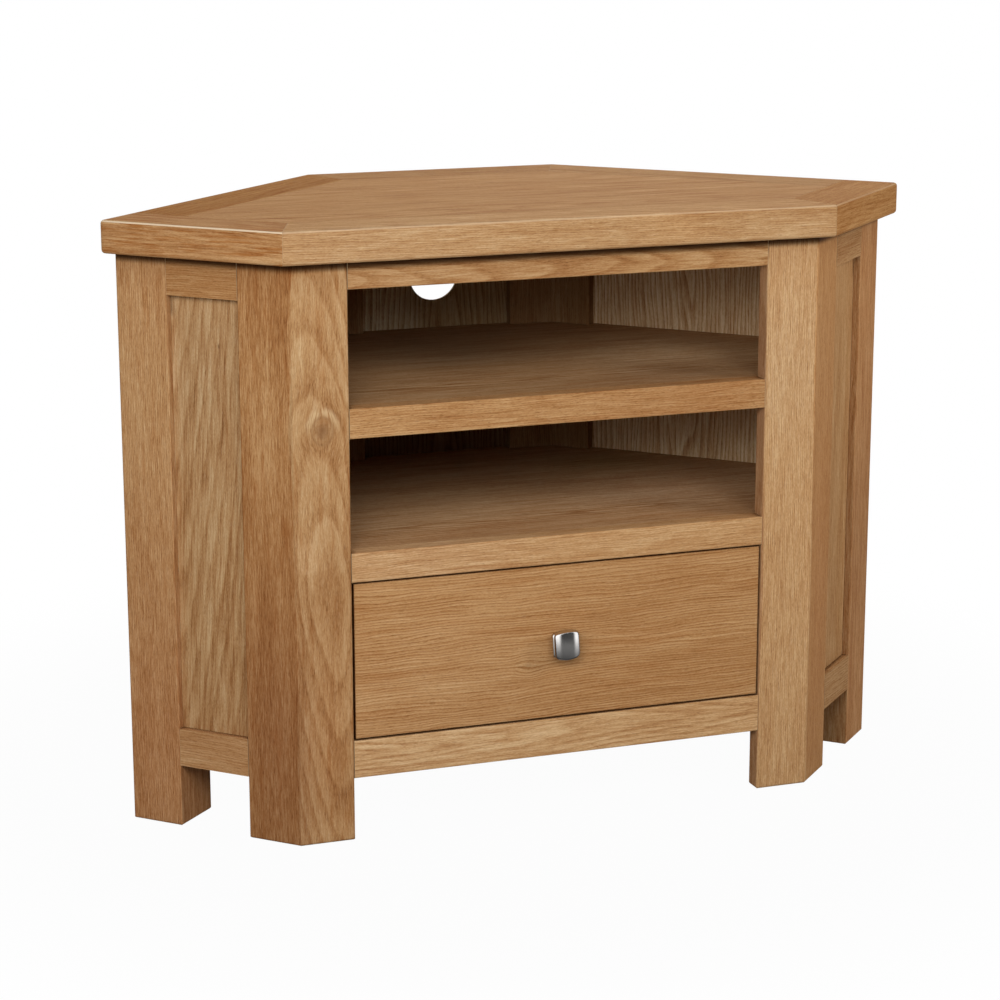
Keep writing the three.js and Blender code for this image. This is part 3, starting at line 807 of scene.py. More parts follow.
@dataclass
class Top(Assembly):
    """The mitred top: six boards round a centre field."""

    first_seed: int = 1

    def boards(self) -> dict[str, Oak]:
        """The top's cuts of oak."""
        return {
            "top_front_board": replace(
                TOP_BOARD, pith_across=-25, pith_behind=80, glint=0.3, rust_share=0.15,
                tone=(1.05, 1.12, 1.22), streaks=(Streak(-26.5, 90, (1.11, 1.08, 1.02), 1.5),),
                patches=(Patch(-20, -215, 60, 90, (1.03, 1.07, 1.13)),)),
            "left_top_side_board": replace(
                TOP_BOARD, along=Axis.FALLING, cloud_share=0.9, glint=0.9, rust_share=1, rust_width=2.4,
                rust_length=40, rust_start=0.47, tone=(1.06, 1.05, 1.05)),
            "right_top_side_board": replace(
                TOP_BOARD, along=Axis.RISING, glint=0.2, tone=(0.97, 0.87, 0.72)),
            # The long thin pale patch on the left rear board paints the highlight along its joint with the
            # centre field.
            "left_top_rear_board": replace(
                TOP_BOARD, along=Axis.RISING, rust_share=0.9, rust_width=3, rust_length=60, rust_start=0.48,
                tone=(0.85, 0.73, 0.52), patches=(Patch(-36.6, 0, 1.8, ENDLESS, (1.35, 1.55, 1.95)),)),
            "right_top_rear_board": replace(TOP_BOARD, along=Axis.FALLING),
            "top_back_board": replace(TOP_BOARD, tone=(0.92, 0.88, 0.84)),
            "top_centre_panel": replace(
                TOP_BOARD, fibre_length=60, fibre_share=1.5, pore_share=0.4, rust_width=7, rust_length=110,
                rust_share=0.5, tone=(1.08, 1.07, 1.06)),
        }


@dataclass
class FrontFrame(Assembly):
    """The two bent front posts, and the rails and shelf lips between them."""

    first_seed: int = 11

    def boards(self) -> dict[str, Oak]:
        """The front frame's cuts of oak."""
        return {
            "left_front_post": replace(
                POST, pith_across=22.5, pith_behind=64.2, pith_slope=0.11, pith_lean=-0.076, pith_turn=-34,
                wander=6, ring_width=6.2, ring_share=0.26, unevenness=0.5, cloud_share=0.8, rust_share=0.5,
                rust_width=6, rust_length=50, fibre_length=15, fibre_width=0.75, tone=(0.96, 0.97, 0.99),
                knots=(Knot(21, 125, 7.5, 21, 0.8, 0.7, 1.3, halo=0.7, rim=0.3),),
                streaks=(Streak(-90, -7.5, (0.93, 0.81, 0.70), 0.8, 0.9, 0.6),),
                # The first two patches paint the post darker towards the foot and lighter towards the top,
                # as shade and light.
                patches=(Patch(-25, -190, 34, 150, (0.80, 0.72, 0.73)),
                         Patch(-25, 170, 34, 110, (1.12, 1.22, 1.32)),
                         Patch(25, -180, 22, 90, (1.08, 1.04, 1.02)),
                         Patch(5, 2, 14, 20, (1.14, 1.20, 1.28)),
                         Patch(24, -272, 26, 10, (1.10, 1.14, 1.18)))),
            "right_front_post": replace(
                POST, pith_across=-260, rust_share=0.1, cloud_share=0.25, band_share=0.25, fibre_length=19,
                fibre_width=0.7, ripple=0.3, wander=5, tone=(1.21, 1.30, 1.42),
                streaks=(Streak(7.5, 90, (0.92, 0.80, 0.68), 0.8),
                         # This streak and the thin patch at -47.7 paint shade on the post's inner face,
                         # deepest under the top rail.
                         Streak(-60, -47.2, (0.85, 0.77, 0.77), 0.3)),
                patches=(Patch(-25, 170, 60, 100, (1.02, 1.07, 1.15)),
                         Patch(-47.7, 170, 0.8, 70, (0.75, 0.64, 0.64)),
                         Patch(30, -80, 20, 170, (0.96, 0.90, 0.88)))),
            "front_top_rail": replace(
                TOP_RAIL, pith_across=5, pith_behind=35, pith_slope=0.06, ring_width=3.5, ring_share=0.3,
                tone=(0.98, 0.98, 0.99), patches=(Patch(0, 130, 60, 120, (1.06, 1.08, 1.07)),)),
            "upper_shelf_lip": replace(
                RAIL, pore_share=0.7, tone=(1.05, 1.06, 1.06),
                patches=(Patch(0, 150, 100, 120, (0.86, 0.77, 0.70)),)),
            "lower_shelf_lip": replace(
                RAIL, ripple=1.4, tone=(1.13, 1.16, 1.2),
                patches=(Patch(0, -150, 100, 110, (1.08, 1.15, 1.28)),)),
            "front_bottom_rail": replace(
                RAIL, pith_across=-6, pith_behind=24, pith_slope=0.05, ring_width=4, ring_share=0.22,
                rust_share=0.1, tone=(1.25, 1.34, 1.46),
                patches=(Patch(0, -150, 60, 110, (1.03, 1.06, 1.11)),)),
        }


@dataclass
class SideFrames(Assembly):
    """Side posts, side rails and the sunk side panels."""

    first_seed: int = 21

    def boards(self) -> dict[str, Oak]:
        """The side frames' cuts of oak."""
        return {
            # The left side post's patches paint it darker towards the foot and lighter towards the top, as
            # shade and light.
            "left_side_post": replace(
                POST, face=Axis.RISING, fibre_share=1.45, cloud_share=0.3, fibre_width=0.75, fibre_length=18,
                tone=(1.07, 1.035, 1.045), patches=(Patch(0, -230, 90, 150, (0.96, 0.87, 0.85)),
                                                    Patch(0, 160, 90, 120, (1.05, 1.11, 1.15)))),
            "right_side_post": replace(
                POST, face=Axis.FALLING, fibre_share=1.35, tone=(1.12, 1.02, 0.98),
                patches=(Patch(0, -60, 90, 130, (0.87, 0.85, 0.85)),
                         # This thin patch paints shade on the post's narrow face beside the sunk panel.
                         Patch(28.1, 0, 0.6, ENDLESS, (0.74, 0.80, 0.84)))),
            "left_side_top_rail": replace(TOP_RAIL, **FALLING, tone=(0.94, 0.88, 0.81)),
            "right_side_top_rail": replace(TOP_RAIL, **RISING),
            "left_side_bottom_rail": replace(RAIL, **FALLING, tone=(1.05, 1.02, 1.04)),
            "right_side_bottom_rail": replace(RAIL, **RISING),
            "left_side_panel": replace(
                PANEL, face=Axis.RISING, pith_across=-50, pith_behind=58, pith_slope=-0.11, ring_width=7.5,
                ring_share=0.24, unevenness=0.9, wander=10, ripple=0.5, lean=0.05, fibre_share=1.2,
                rust_share=0.25, rust_width=6, band_share=0.7, cloud_share=0.7, tone=(0.98, 1.02, 1.07),
                knots=(Knot(13, 168, 1.1, 2.5, 0.3, 1, 2.2),),
                # These patches paint the panel a little darker low down and lighter high up, as shade and
                # light.
                patches=(Patch(0, -230, 90, 120, (0.99, 0.97, 0.96)),
                         Patch(0, 150, 90, 110, (1.02, 1.07, 1.14)))),
            "right_side_panel": replace(PANEL, face=Axis.FALLING, fibre_share=1.3, tone=(1.09, 1.10, 1.11)),
        }


@dataclass
class BackFrames(Assembly):
    """Back posts, the rails between them and the back panels."""

    first_seed: int = 31

    def boards(self) -> dict[str, Oak]:
        """The back frames' cuts of oak."""
        rails = {"back": INSIDE, "left_rear": replace(INSIDE, **RISING),
                 "right_rear": replace(INSIDE, **FALLING)}
        return {
            # The inner tones of these posts and panels, set apart from their outer tones, are partly the
            # wood's own and partly painted light and shade; their patches are painted light and shade.
            "left_back_post": replace(BACK_POST, tone=(0.75, 0.80, 0.85)),
            "right_back_post": replace(
                BACK_POST, tone=(0.62, 0.63, 0.64), patches=(Patch(30, 160, 22, 200, (0.80, 0.76, 0.70)),)),
            # back_panel: its first patch paints light on its upper left, and its wide second patch paints
            # shade in a band lower down.
            "back_panel": replace(
                BACK_PANEL, pith_across=12, pith_behind=22, pith_slope=0.07, fibre_share=1.2,
                tone=(0.74, 0.86, 0.94), patches=(Patch(-72, 130, 42, 90, (1.75, 2.20, 2.90)),
                                                  Patch(0, -22, 300, 62, (0.50, 0.42, 0.42)))),
            "left_rear_panel": replace(
                BACK_PANEL, face=Axis.FALLING, pith_across=30, pith_behind=24, pith_slope=0.06,
                tone=(1.05, 1.15, 1.30)),
            "right_rear_panel": replace(
                BACK_PANEL, face=Axis.RISING, pith_across=-22, pith_behind=22, pith_slope=-0.07,
                fibre_share=1.5, tone=(1.12, 1.34, 1.70),
                patches=(Patch(0, -12, 200, 55, (1.14, 1.19, 1.21)),)),
            **{f"{place}_{level}_rail": oak for place, oak in rails.items() for level in ("top", "bottom")},
        }


@dataclass
class Shelves(Assembly):
    """Shelves, base board, cleats and fixing blocks."""

    first_seed: int = 51

    def boards(self) -> dict[str, Oak]:
        """The inner boards' cuts of oak."""
        shelf = replace(INSIDE, face=Axis.UPRIGHT, staves=62, ring_share=0.5, ring_width=3.5, rust_share=0.6)
        cleats = {f"{side}_{level}_side_cleat": replace(INSIDE, **way)
                  for side, way in (("left", FALLING), ("right", RISING)) for level in ("upper", "lower")}
        blocks = [node for name in ("front_fixing_block", "back_fixing_block") for node in mirrored(name)]
        return {
            # The shelves' patches paint the light and shade that falls across them; their greyer tones are
            # partly the wood's own and partly painted light.
            "upper_shelf": replace(
                shelf, tone=(0.97, 1.02, 1.1), patches=(Patch(40, -40, 110, 90, (0.72, 0.76, 0.82)),
                                                        Patch(-31, 185, 70, 90, (1.42, 1.60, 1.84)),
                                                        Patch(-152, 134, 50, 90, (0.88, 0.86, 0.88)))),
            "lower_shelf": replace(
                shelf, tone=(1.04, 1.14, 1.32), patches=(Patch(-59, 176, 70, 100, (1.22, 1.25, 1.36)),
                                                         Patch(-165, 0, 45, 500, (1, 0.92, 0.85)),
                                                         Patch(89, 156, 50, 80, (0.85, 0.90, 0.78)))),
            "base_board": shelf,
            "upper_back_cleat": INSIDE,
            "lower_back_cleat": INSIDE,
            **cleats,
            **dict.fromkeys(blocks, INSIDE),
        }


@dataclass
class DrawerGuides(Assembly):
    """The drawer's runners, kickers and stops."""

    first_seed: int = 66

    def boards(self) -> dict[str, Oak]:
        """The guides' cuts of oak."""
        names = ("drawer_runner", "drawer_kicker", "drawer_stop")
        guide = replace(INSIDE, along=Axis.DEPTH, face=Axis.UPRIGHT)
        return dict.fromkeys((node for name in names for node in mirrored(name)), guide)


@dataclass
class GlueAndHighlightLines:
    """The glue in the carcass and top joints, one thin wall in each, whose pale colour also paints the
    joints' highlight.

    Lengths are millimetres, and places are in plan.
    """

    gap: float = 0.28
    sunk: float = 0.04
    front: float = 16.0
    frame_thickness: float = 18.0
    opening_half: float = 213.98
    side_start: Spot = (269.13, 16.0)
    side_joints: Spot = (57.15, 134.2)
    front_rails: tuple[Spot, ...] = ((541.0, 567.7), (399.0, 428.0), (259.0, 288.0), (63.0, 101.0))
    side_rails: tuple[Spot, ...] = ((530.0, 567.7), (63.0, 101.0))
    top_levels: Spot = (568.0, 600.0)
    tongue_top: float = 589.0
    tongue_reach: float = 12.0
    top_corners: tuple[Spot, ...] = ((280.0, 0.0), (420.0, 140.0), (140.0, 420.0))
    corner_insets: tuple[float, ...] = (0.51, 2.06, 0.51)
    field_corners: tuple[Spot, ...] = ((258.8, 58.0), (336.55, 135.75), (114.32, 358.0))
    edge_radius: float = 3.5
    edge_steps: int = 4
    plan_shift: float = -208.0

    def build(self) -> None:
        """Makes the glue and highlight lines as one piece on the carcass."""
        mesh = bmesh.new()
        for hand in (-1.0, 1.0):
            for low, high in self.front_rails:
                x = hand * self.opening_half
                self.wall(mesh, (x, self.front), (x, self.front + self.frame_thickness), low, high)
            for low, high in self.side_rails:
                for reach in self.side_joints:
                    out = [(hand * (self.side_start[0] + (reach - deep) * DIAGONAL),
                            self.side_start[1] + (reach + deep) * DIAGONAL)
                           for deep in (0.0, self.frame_thickness)]
                    self.wall(mesh, out[0], out[1], low, high)
            outer, inner = ([Vector((hand * x, y)) for x, y in corners]
                            for corners in (self.top_corners, self.field_corners))
            for corner, end, inset in zip(outer, inner, self.corner_insets):
                self.mitre(mesh, corner, end, inset)
            for start, end in zip(inner, inner[1:]):
                self.wall(mesh, start, end, self.tongue_top, self.top_levels[1])
        for x, y in (self.field_corners[0], self.field_corners[-1]):
            self.wall(mesh, (-x, y), (x, y), self.tongue_top, self.top_levels[1])
        glue = put_mesh("glue_and_highlight_lines", mesh)
        GlueAndHighlight().dress(glue)
        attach(glue, "carcass")
        log.info("glue lines")

    def wall(self, mesh: bmesh.types.BMesh, start: Spot, end: Spot, low: float, high: float) -> None:
        """Adds one upright wall, sunk a little on every side.

        Args:
            mesh: the mesh that takes it.
            start: where it starts, in plan.
            end: where it ends.
            low: the height of its foot.
            high: the height of its head.
        """
        length = (Vector(end) - Vector(start)).length
        near, far, foot, head = self.sunk, length - self.sunk, low + self.sunk, high - self.sunk
        self.slab(mesh, start, end, [(near, foot), (far, foot), (far, head), (near, head)])

    def mitre(self, mesh: bmesh.types.BMesh, corner: Spot, end: Spot, inset: float) -> None:
        """Adds the glue of one mitre of the top, whose outer end follows the rounded edge.

        Args:
            mesh: the mesh that takes it.
            corner: the sharp corner of the top's outline, in plan.
            end: the corner of the centre field that the mitre runs to.
            inset: how far inside the sharp corner the wood starts.
        """
        far = (Vector(end) - Vector(corner)).length
        near = self.sunk + inset
        foot, head = self.top_levels[0] + self.sunk, self.top_levels[1] - self.sunk
        tongue = self.tongue_top + self.sunk
        turns = [math.pi / 2 * step / self.edge_steps for step in range(self.edge_steps, -1, -1)]
        rounded = [(near + self.edge_radius * (1.0 - math.cos(turn)),
                    head - self.edge_radius * (1.0 - math.sin(turn))) for turn in turns]
        below = [(s, foot + head - z) for s, z in reversed(rounded)]
        self.slab(mesh, corner, end, [
            *below, (far - self.tongue_reach, foot), (far - self.tongue_reach, tongue),
            (far - self.sunk, tongue), (far - self.sunk, head), *rounded])

    def slab(self, mesh: bmesh.types.BMesh, start: Spot, end: Spot, profile: list[Spot]) -> None:
        """Adds one thin slab.

        Args:
            mesh: the mesh that takes it.
            start: where the profile's first measure starts, in plan.
            end: the place that it runs towards.
            profile: the slab's outline, as pairs of a distance from the start and a height.
        """
        first = Vector((*start, 0.0))
        way = (Vector((*end, 0.0)) - first).normalized()
        side = way.cross(UP) * (self.gap / 2)
        skins = []
        for hand in (-1.0, 1.0):
            places = [first + way * s + side * hand + Vector((0.0, self.plan_shift, z)) for s, z in profile]
            skins.append([mesh.verts.new(place / MILLIMETRES) for place in places])
        faces = [mesh.faces.new(skins[0]), mesh.faces.new(list(reversed(skins[1])))]
        for i, _ in enumerate(profile):
            j = (i + 1) % len(profile)
            faces.append(mesh.faces.new((skins[0][j], skins[0][i], skins[1][i], skins[1][j])))
        bmesh.ops.recalc_face_normals(mesh, faces=faces)


class Skin:
    """A closed skin that is built ring by ring, from front to back."""

    def __init__(self, centre_z: float, twist: float, spokes: int) -> None:
        """Starts an empty skin.

        Args:
            centre_z: the height of the rings' middle.
            twist: how far the rings are turned out of upright, in degrees.
            spokes: how many points a ring has.
        """
        self.mesh = bmesh.new()
        self.centre_z = centre_z
        self.turn = math.radians(twist)
        self.spokes = spokes
        self.rings = []

    def ring(self, points: list[Spot], depths: float | list[float]) -> None:
        """Adds a ring.

        Args:
            points: its points, in x and z.
            depths: the y of each point, or of them all.
        """
        c, s = math.cos(self.turn), math.sin(self.turn)
        if not isinstance(depths, list):
            depths = [depths] * self.spokes
        self.rings.append([self.mesh.verts.new((x * c - z * s, y, x * s + z * c + self.centre_z))
                           for (x, z), y in zip(points, depths)])

    def circle(self, radius: float, depth: float) -> None:
        """Adds a round ring."""
        turns = [math.tau * spoke / self.spokes for spoke in range(self.spokes)]
        self.ring([(radius * math.cos(turn), radius * math.sin(turn)) for turn in turns], depth)

    def close(self, name: str, front: float, back: float) -> bpy.types.Object:
        """Joins the rings and closes both ends.

        Args:
            name: the object's name.
            front: the y of the middle of its front.
            back: the y of the middle of its back.

        Returns:
            The object.
        """
        following = [(spoke, (spoke + 1) % self.spokes) for spoke in range(self.spokes)]
        for near, far in zip(self.rings, self.rings[1:]):
            for i, j in following:
                self.mesh.faces.new((near[i], near[j], far[j], far[i]))
        for end, depth in ((self.rings[0], front), (self.rings[-1], back)):
            hub = self.mesh.verts.new((0.0, depth, self.centre_z))
            for i, j in following:
                self.mesh.faces.new((hub, end[i], end[j]))
        bmesh.ops.recalc_face_normals(self.mesh, faces=self.mesh.faces)
        return put_mesh(name, self.mesh, smooth=True)


@dataclass
class Knob:
    """The knob: a bowed plate with a narrow lip, a waisted stem, a round base and the screw's bore."""

    width: float = 0.0272
    middle_height: float = 0.0285
    end_height: float = 0.0245
    squareness: float = 13.0
    twist: float = 3.5
    projection: float = 0.021
    bow: float = 0.004
    dome: float = 0.0007
    plate: float = 0.007
    edge: float = 0.0009
    edge_steps: int = 4
    face_shares: tuple[float, ...] = (0.12, 0.3, 0.5, 0.68, 0.82, 0.92)
    flare: float = 0.0010
    flare_depth: float = 0.0042
    flare_slope: float = 1.05
    flare_rings: tuple[Spot, ...] = (
        (0, -0.12), (0, -0.02), (0.1, 0.1), (0.9, 0.9), (1, 1.02), (1, 1.15))
    lip_edge: float = 0.00054
    lip_rings: tuple[Spot, ...] = ((0, -0.6), (0.3, -0.3), (1, 0))
    # The painted side shade stops this far in front of the plate's back, so the lip stays bright.
    bright_rim: float = 0.0045
    neck_radius: float = 0.0085
    waist_radius: float = 0.0053
    waist_power: float = 0.8
    stem_steps: int = 9
    stem_share: float = 0.86
    base_radius: float = 0.008
    base_depth: float = 0.0012
    base_edge: float = 0.0003
    base_lift: float = 0.0003
    bore_radius: float = 0.0023
    bore_depth: float = 0.0093
    spokes: int = 96

    def outline(self, width: float, inset: float) -> list[Spot]:
        """The plate's outline from the front: a soft square with bowed upper and lower edges.

        Args:
            width: its full width.
            inset: how far the outline is drawn in all round.

        Returns:
            The points, in x and z.
        """
        points = []
        for spoke in range(self.spokes):
            turn = math.tau * spoke / self.spokes
            c, s = math.cos(turn), math.sin(turn)
            radius = (abs(c) ** self.squareness + abs(s) ** self.squareness) ** (-1.0 / self.squareness)
            across = c * radius
            height = self.middle_height - (self.middle_height - self.end_height) * across ** 2
            points.append((across * (width / 2 - inset), s * radius * (height / 2 - inset)))
        return points

    def bowed(self, points: list[Spot], front: float) -> list[float]:
        """The y of points on the bowed face, whose middle lies at front."""
        wide, high = self.width / 2, self.middle_height / 2
        return [front + self.bow * (x / wide) ** 2 + self.dome * (z / high) ** 2 for x, z in points]

    def add_face(self, skin: Skin, tip_y: float) -> None:
        """Adds the bowed face and its rounded edge.

        Args:
            skin: the knob's skin.
            tip_y: the y of the face's middle.
        """
        width = self.width - 2 * self.flare
        for share in self.face_shares:
            points = [(x * share, z * share) for x, z in self.outline(width, self.edge)]
            skin.ring(points, self.bowed(points, tip_y))
        for step in range(self.edge_steps + 1):
            turn = math.pi / 2 * step / self.edge_steps
            points = self.outline(width, self.edge * (1.0 - math.sin(turn)))
            skin.ring(points, self.bowed(points, tip_y + self.edge * (1.0 - math.cos(turn))))

    def add_lip(self, skin: Skin, plate_back: float) -> None:
        """Adds the plate's sides, the lip on them and the lip's rounded back edge.

        Args:
            skin: the knob's skin.
            plate_back: the y of the plate's back.
        """
        flare_front, flare_back = plate_back - self.flare_depth, self.flare * self.flare_slope
        for share, back in self.flare_rings:
            width = self.width - 2 * self.flare * (1.0 - share)
            skin.ring(self.outline(width, 0.0), flare_front + flare_back * back)
        for inset, back in self.lip_rings:
            skin.ring(self.outline(self.width, self.lip_edge * inset), plate_back + self.lip_edge * back)

    def add_stem(self, skin: Skin, plate_back: float, face_y: float) -> None:
        """Adds the waisted stem, the base and the bore.

        Args:
            skin: the knob's skin.
            plate_back: the y of the plate's back.
            face_y: the y of the drawer's face.
        """
        base_y = face_y - self.base_lift
        skin.circle(self.neck_radius, plate_back)
        for step in range(1, self.stem_steps):
            share = step / self.stem_steps
            straight = self.neck_radius + (self.base_radius - self.neck_radius) * share
            drawn = math.sin(math.pi * share) ** self.waist_power
            skin.circle(straight + (self.waist_radius - straight) * drawn,
                        plate_back + (base_y - plate_back) * share * self.stem_share)
        skin.circle(self.base_radius, base_y - self.base_depth)
        skin.circle(self.base_radius, base_y - self.base_edge)
        skin.circle(self.base_radius - self.base_edge, base_y)
        skin.circle(self.bore_radius, base_y)
        skin.circle(self.bore_radius, face_y - self.bore_depth)

    def build(self) -> None:
        """Makes the knob on the drawer, in place of its solid."""
        low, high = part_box("drawer_knob")
        face_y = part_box("drawer_front")[0].y
        tip_y = face_y - self.projection
        plate_back = tip_y + self.bow + self.plate
        skin = Skin((low.z + high.z) / 2, self.twist, self.spokes)
        self.add_face(skin, tip_y)
        self.add_lip(skin, plate_back)
        self.add_stem(skin, plate_back, face_y)
        knob = skin.close("knob", tip_y, face_y - self.bore_depth)
        # The nickel's painted side shade reaches back to this rim.
        replace(NICKEL, rim=plate_back - self.bright_rim).dress(knob)
        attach(knob, "drawer")
        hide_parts("drawer_knob")
        log.info("knob")


@dataclass
class Drawer(Assembly):
    """The dovetailed drawer with its knob and the knob's screw."""

    first_seed: int = 81

    def boards(self) -> dict[str, Oak]:
        """The drawer's cuts of oak."""
        return {
            "drawer_front": replace(
                RAIL, pith_across=-190, pith_behind=60, ring_width=2.9, ring_share=0.34, fibre_share=0.95,
                fibre_width=1, fibre_length=70, wander=9, wander_length=170, ripple=1.7, rust_width=9,
                rust_length=150, tone=(1.01, 0.97, 0.92),
                patches=(Patch(45, -150, 70, 130, (1.09, 1.15, 1.24)),),
                knots=(Knot(22, -35, 3, 10, 0.6, 0.3),)),
            **dict.fromkeys(mirrored("drawer_side"), replace(INSIDE, along=Axis.DEPTH, face=Axis.WIDTH)),
            "drawer_back": INSIDE,
            "drawer_bottom": replace(INSIDE, face=Axis.UPRIGHT),
        }

    def build(self) -> None:
        """Dresses the drawer's boards, then makes its knob."""
        super().build()
        Knob().build()
        ZINC.dress(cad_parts["knob_screw"])
        log.info("knob screw")


@dataclass(frozen=True)
class Lamp:
    """A soft square lamp that looks at the cabinet. Angles are degrees."""

    name: str
    azimuth: float
    elevation: float
    distance: float
    size: float
    power: float
    gloss: bool = True

    def hang(self, target: Vector) -> None:
        """Puts the lamp in the scene.

        Args:
            target: the point that it looks at.
        """
        turn, lift = math.radians(self.azimuth), math.radians(self.elevation)
        away = Vector((math.sin(turn) * math.cos(lift), -math.cos(turn) * math.cos(lift), math.sin(lift)))
        data = bpy.data.lights.new(self.name, "AREA")
        data.shape = "SQUARE"
        data.size = self.size
        data.energy = self.power
        lamp = put(self.name, data)
        lamp.location = target + away * self.distance
        lamp.rotation_mode = "QUATERNION"
        lamp.rotation_quaternion = (-away).to_track_quat("-Z", "Y")
        lamp.visible_camera = False
        lamp.visible_glossy = self.gloss


@dataclass
class Studio:
    """Camera, lamps, world and floor. Angles are degrees."""

    camera_place: Place = (-0.91403, -2.57248, 0.94254)
    camera_yaw: float = 19.64
    camera_pitch: float = 13.66
    camera_roll: float = -0.07
    camera_lens: float = 97.209
    sensor: float = 36.0
    ambient: float = 0.0
    floor_half: float = 12.0
    floor_drop: float = 0.0005
    floor_grey: tuple[float, ...] = (0.3, 0.3, 0.3, 1)
    shadow_reach: Spot = (0.45, 0.9)
    shadow_share: float = 0.03
    hole_height: float = 0.485
    hole_card_radius: float = 0.0272
    hole_card_sides: int = 36
    # The screen paints the knob's reflections: glowing bands of painted highlight between dark cards.
    screen_radius: float = 0.12
    screen_glow: float = 1.5
    screen_span: Spot = (-128.0, 190.0)
    screen_rise: Spot = (-1.45, 2.5)
    screen_cards: tuple[Spot, ...] = (
        (-90, 1), (-23, 1), (-15, 0), (42, 0.02), (51, 0.95), (64, 0.95), (70, 0))
    screen_fall: tuple[Spot, ...] = (
        (-0.6, 0), (-0.42, 0.06), (-0.25, 0.38), (-0.10, 1.1), (0.3, 1.1), (1.2, 0.4))
    screen_lift: tuple[Spot, ...] = (
        (-0.6, 0.04), (-0.42, 0.11), (-0.24, 0.15), (-0.09, 0.04), (0.5, 0.02))
    lamps: tuple[Lamp, ...] = (
        Lamp("key", azimuth=-26, elevation=27, distance=2.3, size=0.8, power=13),
        Lamp("low_key", azimuth=-26, elevation=20, distance=1.5, size=0.4, power=2.3),
        Lamp("left", azimuth=-50, elevation=20, distance=1.5, size=0.4, power=3),
        Lamp("front", azimuth=3, elevation=27, distance=2.3, size=0.8, power=10.3),
        Lamp("right", azimuth=50, elevation=21, distance=1.6, size=0.5, power=7.4),
        Lamp("low_left", azimuth=-42, elevation=9, distance=1.6, size=0.4, power=1.5),
        Lamp("overhead", azimuth=0, elevation=89, distance=1.9, size=1.6, power=5.6),
        Lamp("back", azimuth=150, elevation=50, distance=1.9, size=1.2, power=9),
        Lamp("back_right", azimuth=150, elevation=22, distance=1.9, size=1, power=10, gloss=False),
        Lamp("back_left", azimuth=-150, elevation=22, distance=1.9, size=1, power=10, gloss=False),
    )

    def camera(self) -> None:
        """Sets the camera where the photograph was taken."""
        data = bpy.data.cameras.new("camera")
        data.sensor_width = self.sensor
        data.lens = self.camera_lens
        camera = put("camera", data)
        turn = (Matrix.Rotation(math.radians(-self.camera_yaw), 4, "Z")
                @ Matrix.Rotation(math.radians(90.0 - self.camera_pitch), 4, "X")
                @ Matrix.Rotation(math.radians(self.camera_roll), 4, "Z"))
        camera.matrix_world = Matrix.Translation(self.camera_place) @ turn
        bpy.context.scene.camera = camera

    def seen(self, recipe: Recipe) -> Wire:
        """1 for rays that show the background itself, straight or in a reflection."""
        camera, glossy, through = (recipe.node("ShaderNodeLightPath", output=f"Is {kind} Ray")
                                   for kind in ("Camera", "Glossy", "Transmission"))
        return recipe.maths("MINIMUM", camera + glossy + through, 1.0)

    def world(self) -> None:
        """A plain pale world that shows as white."""
        world = bpy.data.worlds.new("studio")
        world.use_nodes = True
        bpy.context.scene.world = world
        recipe = Recipe(world.node_tree, "ShaderNodeOutputWorld")
        light, shown = (recipe.node("ShaderNodeBackground", None, {"Color": WHITE, "Strength": strength})
                        for strength in (self.ambient, 1.0))
        recipe.end(recipe.node("ShaderNodeMixShader", None, {0: self.seen(recipe), 1: light, 2: shown}))

    def floor(self) -> None:
        """A white floor that keeps a faint shadow near the cabinet, and that isn't there from below."""
        mesh = bmesh.new()
        bmesh.ops.create_grid(mesh, x_segments=2, y_segments=2, size=self.floor_half)
        floor = put_mesh("floor", mesh)
        floor.location.z = -self.floor_drop
        recipe = new_finish(floor, "floor")
        at = recipe.node("ShaderNodeTexCoord", output="Object")
        reach = recipe.vector_maths("LENGTH", at, (0.0, 0.0, 0.0), "Value")
        white = recipe.node("ShaderNodeEmission", None, {"Color": WHITE, "Strength": 1.0})
        matt = recipe.node("ShaderNodeBsdfDiffuse", None, {"Color": self.floor_grey})
        share = recipe.step(reach, *self.shadow_reach) * self.shadow_share + (1.0 - self.shadow_share)
        mixed = recipe.node("ShaderNodeMixShader", None, {0: self.seen(recipe) * share, 1: matt, 2: white})
        clear = recipe.node("ShaderNodeBsdfTransparent")
        below = recipe.node("ShaderNodeNewGeometry", output="Backfacing")
        recipe.end(recipe.node("ShaderNodeMixShader", None, {0: below, 1: mixed, 2: clear}))

    def hole_card(self) -> None:
        """A round black card in the cable hole, unseen by the camera, so that no light shines through;
        reflections see it too, as a painted dark patch in place of the hole's bright reflection.
        """
        low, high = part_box("back_panel")
        middle = Vector(((low.x + high.x) / 2, (low.y + high.y) / 2, self.hole_height))
        turns = [math.tau * side / self.hole_card_sides for side in range(self.hole_card_sides)]
        data = bpy.data.meshes.new("hole_card")
        data.from_pydata([middle + Vector((math.cos(turn), 0.0, math.sin(turn))) * self.hole_card_radius
                          for turn in turns], [], [range(len(turns))])
        card = put("hole_card", data)
        hide(card, "camera", "transmission", "volume_scatter")
        recipe = new_finish(card, "hole_card")
        recipe.end(recipe.node("ShaderNodeBsdfDiffuse", None, {"Color": BLACK}))

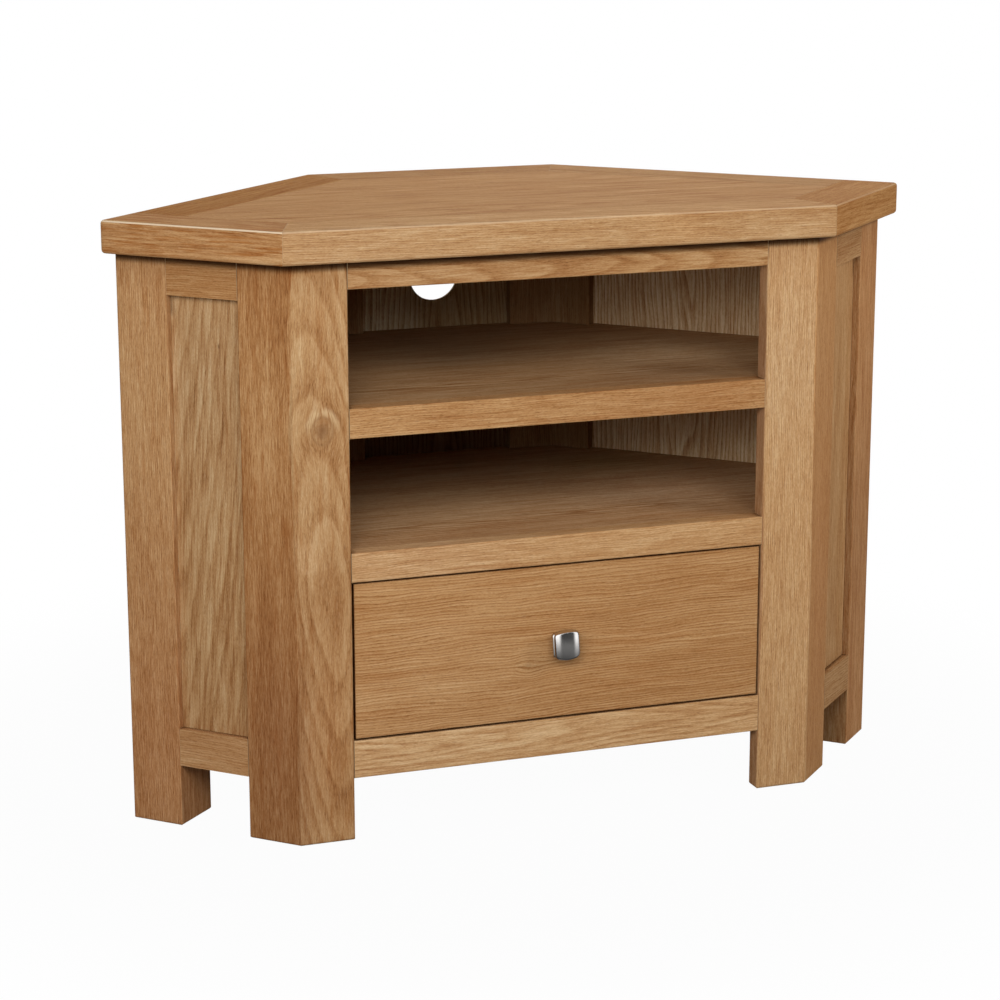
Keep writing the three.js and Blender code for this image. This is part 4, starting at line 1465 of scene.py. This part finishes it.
    def screen(self) -> None:
        """A round screen in front of the knob that only reflections see, which paints its reflections: dark
        cards between glowing bands of painted highlight.
        """
        low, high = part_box("drawer_knob")
        middle = Vector(((low.x + high.x) / 2, high.y, (low.z + high.z) / 2))
        first, last = self.screen_span
        foot, head = self.screen_rise
        count = int(last - first)
        mesh = bmesh.new()
        uv = mesh.loops.layers.uv.new("screen")
        columns = []
        for step in range(count + 1):
            turn = math.radians(first + step)
            away = Vector((math.sin(turn), -math.cos(turn), 0.0))
            columns.append([mesh.verts.new(middle + (away + UP * rise) * self.screen_radius)
                            for rise in self.screen_rise])
        for step, (near, far) in enumerate(zip(columns, columns[1:])):
            face = mesh.faces.new((near[0], far[0], far[1], near[1]))
            for loop, place in zip(face.loops, ((step, 0), (step + 1, 0), (step + 1, 1), (step, 1))):
                loop[uv].uv = (place[0] / count, place[1])
        screen = put_mesh("screen", mesh)
        hide(screen, "camera", "diffuse", "shadow", "transmission", "volume_scatter")
        recipe = new_finish(screen, "screen")
        at = recipe.node("ShaderNodeTexCoord", output="UV")
        cards = recipe.ramp(
            recipe.part(at, 0), [((angle - first) / count, grey) for angle, grey in self.screen_cards])
        rise = head - foot
        fall, lift = (
            recipe.ramp(recipe.part(at, 1), [((level - foot) / rise, grey) for level, grey in stops])
            for stops in (self.screen_fall, self.screen_lift))
        # The screen glows though it is no lamp: its bands are painted highlights on the knob.
        recipe.surface({"Base Color": BLACK, "Roughness": 1.0, "Specular IOR Level": 0.0,
                        "Emission Color": cards * fall + lift, "Emission Strength": self.screen_glow})

    def build(self) -> None:
        """Sets up the whole studio."""
        self.camera()
        self.world()
        self.floor()
        self.screen()
        self.hole_card()
        low, high = CAD_BOX
        for lamp in self.lamps:
            lamp.hang((low + high) / 2)
        bpy.context.scene.view_settings.view_transform = "Standard"
        log.info("studio")


def main() -> None:
    """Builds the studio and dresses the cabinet."""
    logging.basicConfig(level=logging.INFO, format="%(name)s: %(message)s")
    Studio().build()
    for group in (Top, FrontFrame, SideFrames, BackFrames, Shelves, DrawerGuides, GlueAndHighlightLines, Drawer):
        group().build()


if __name__ == "__main__":
    main()
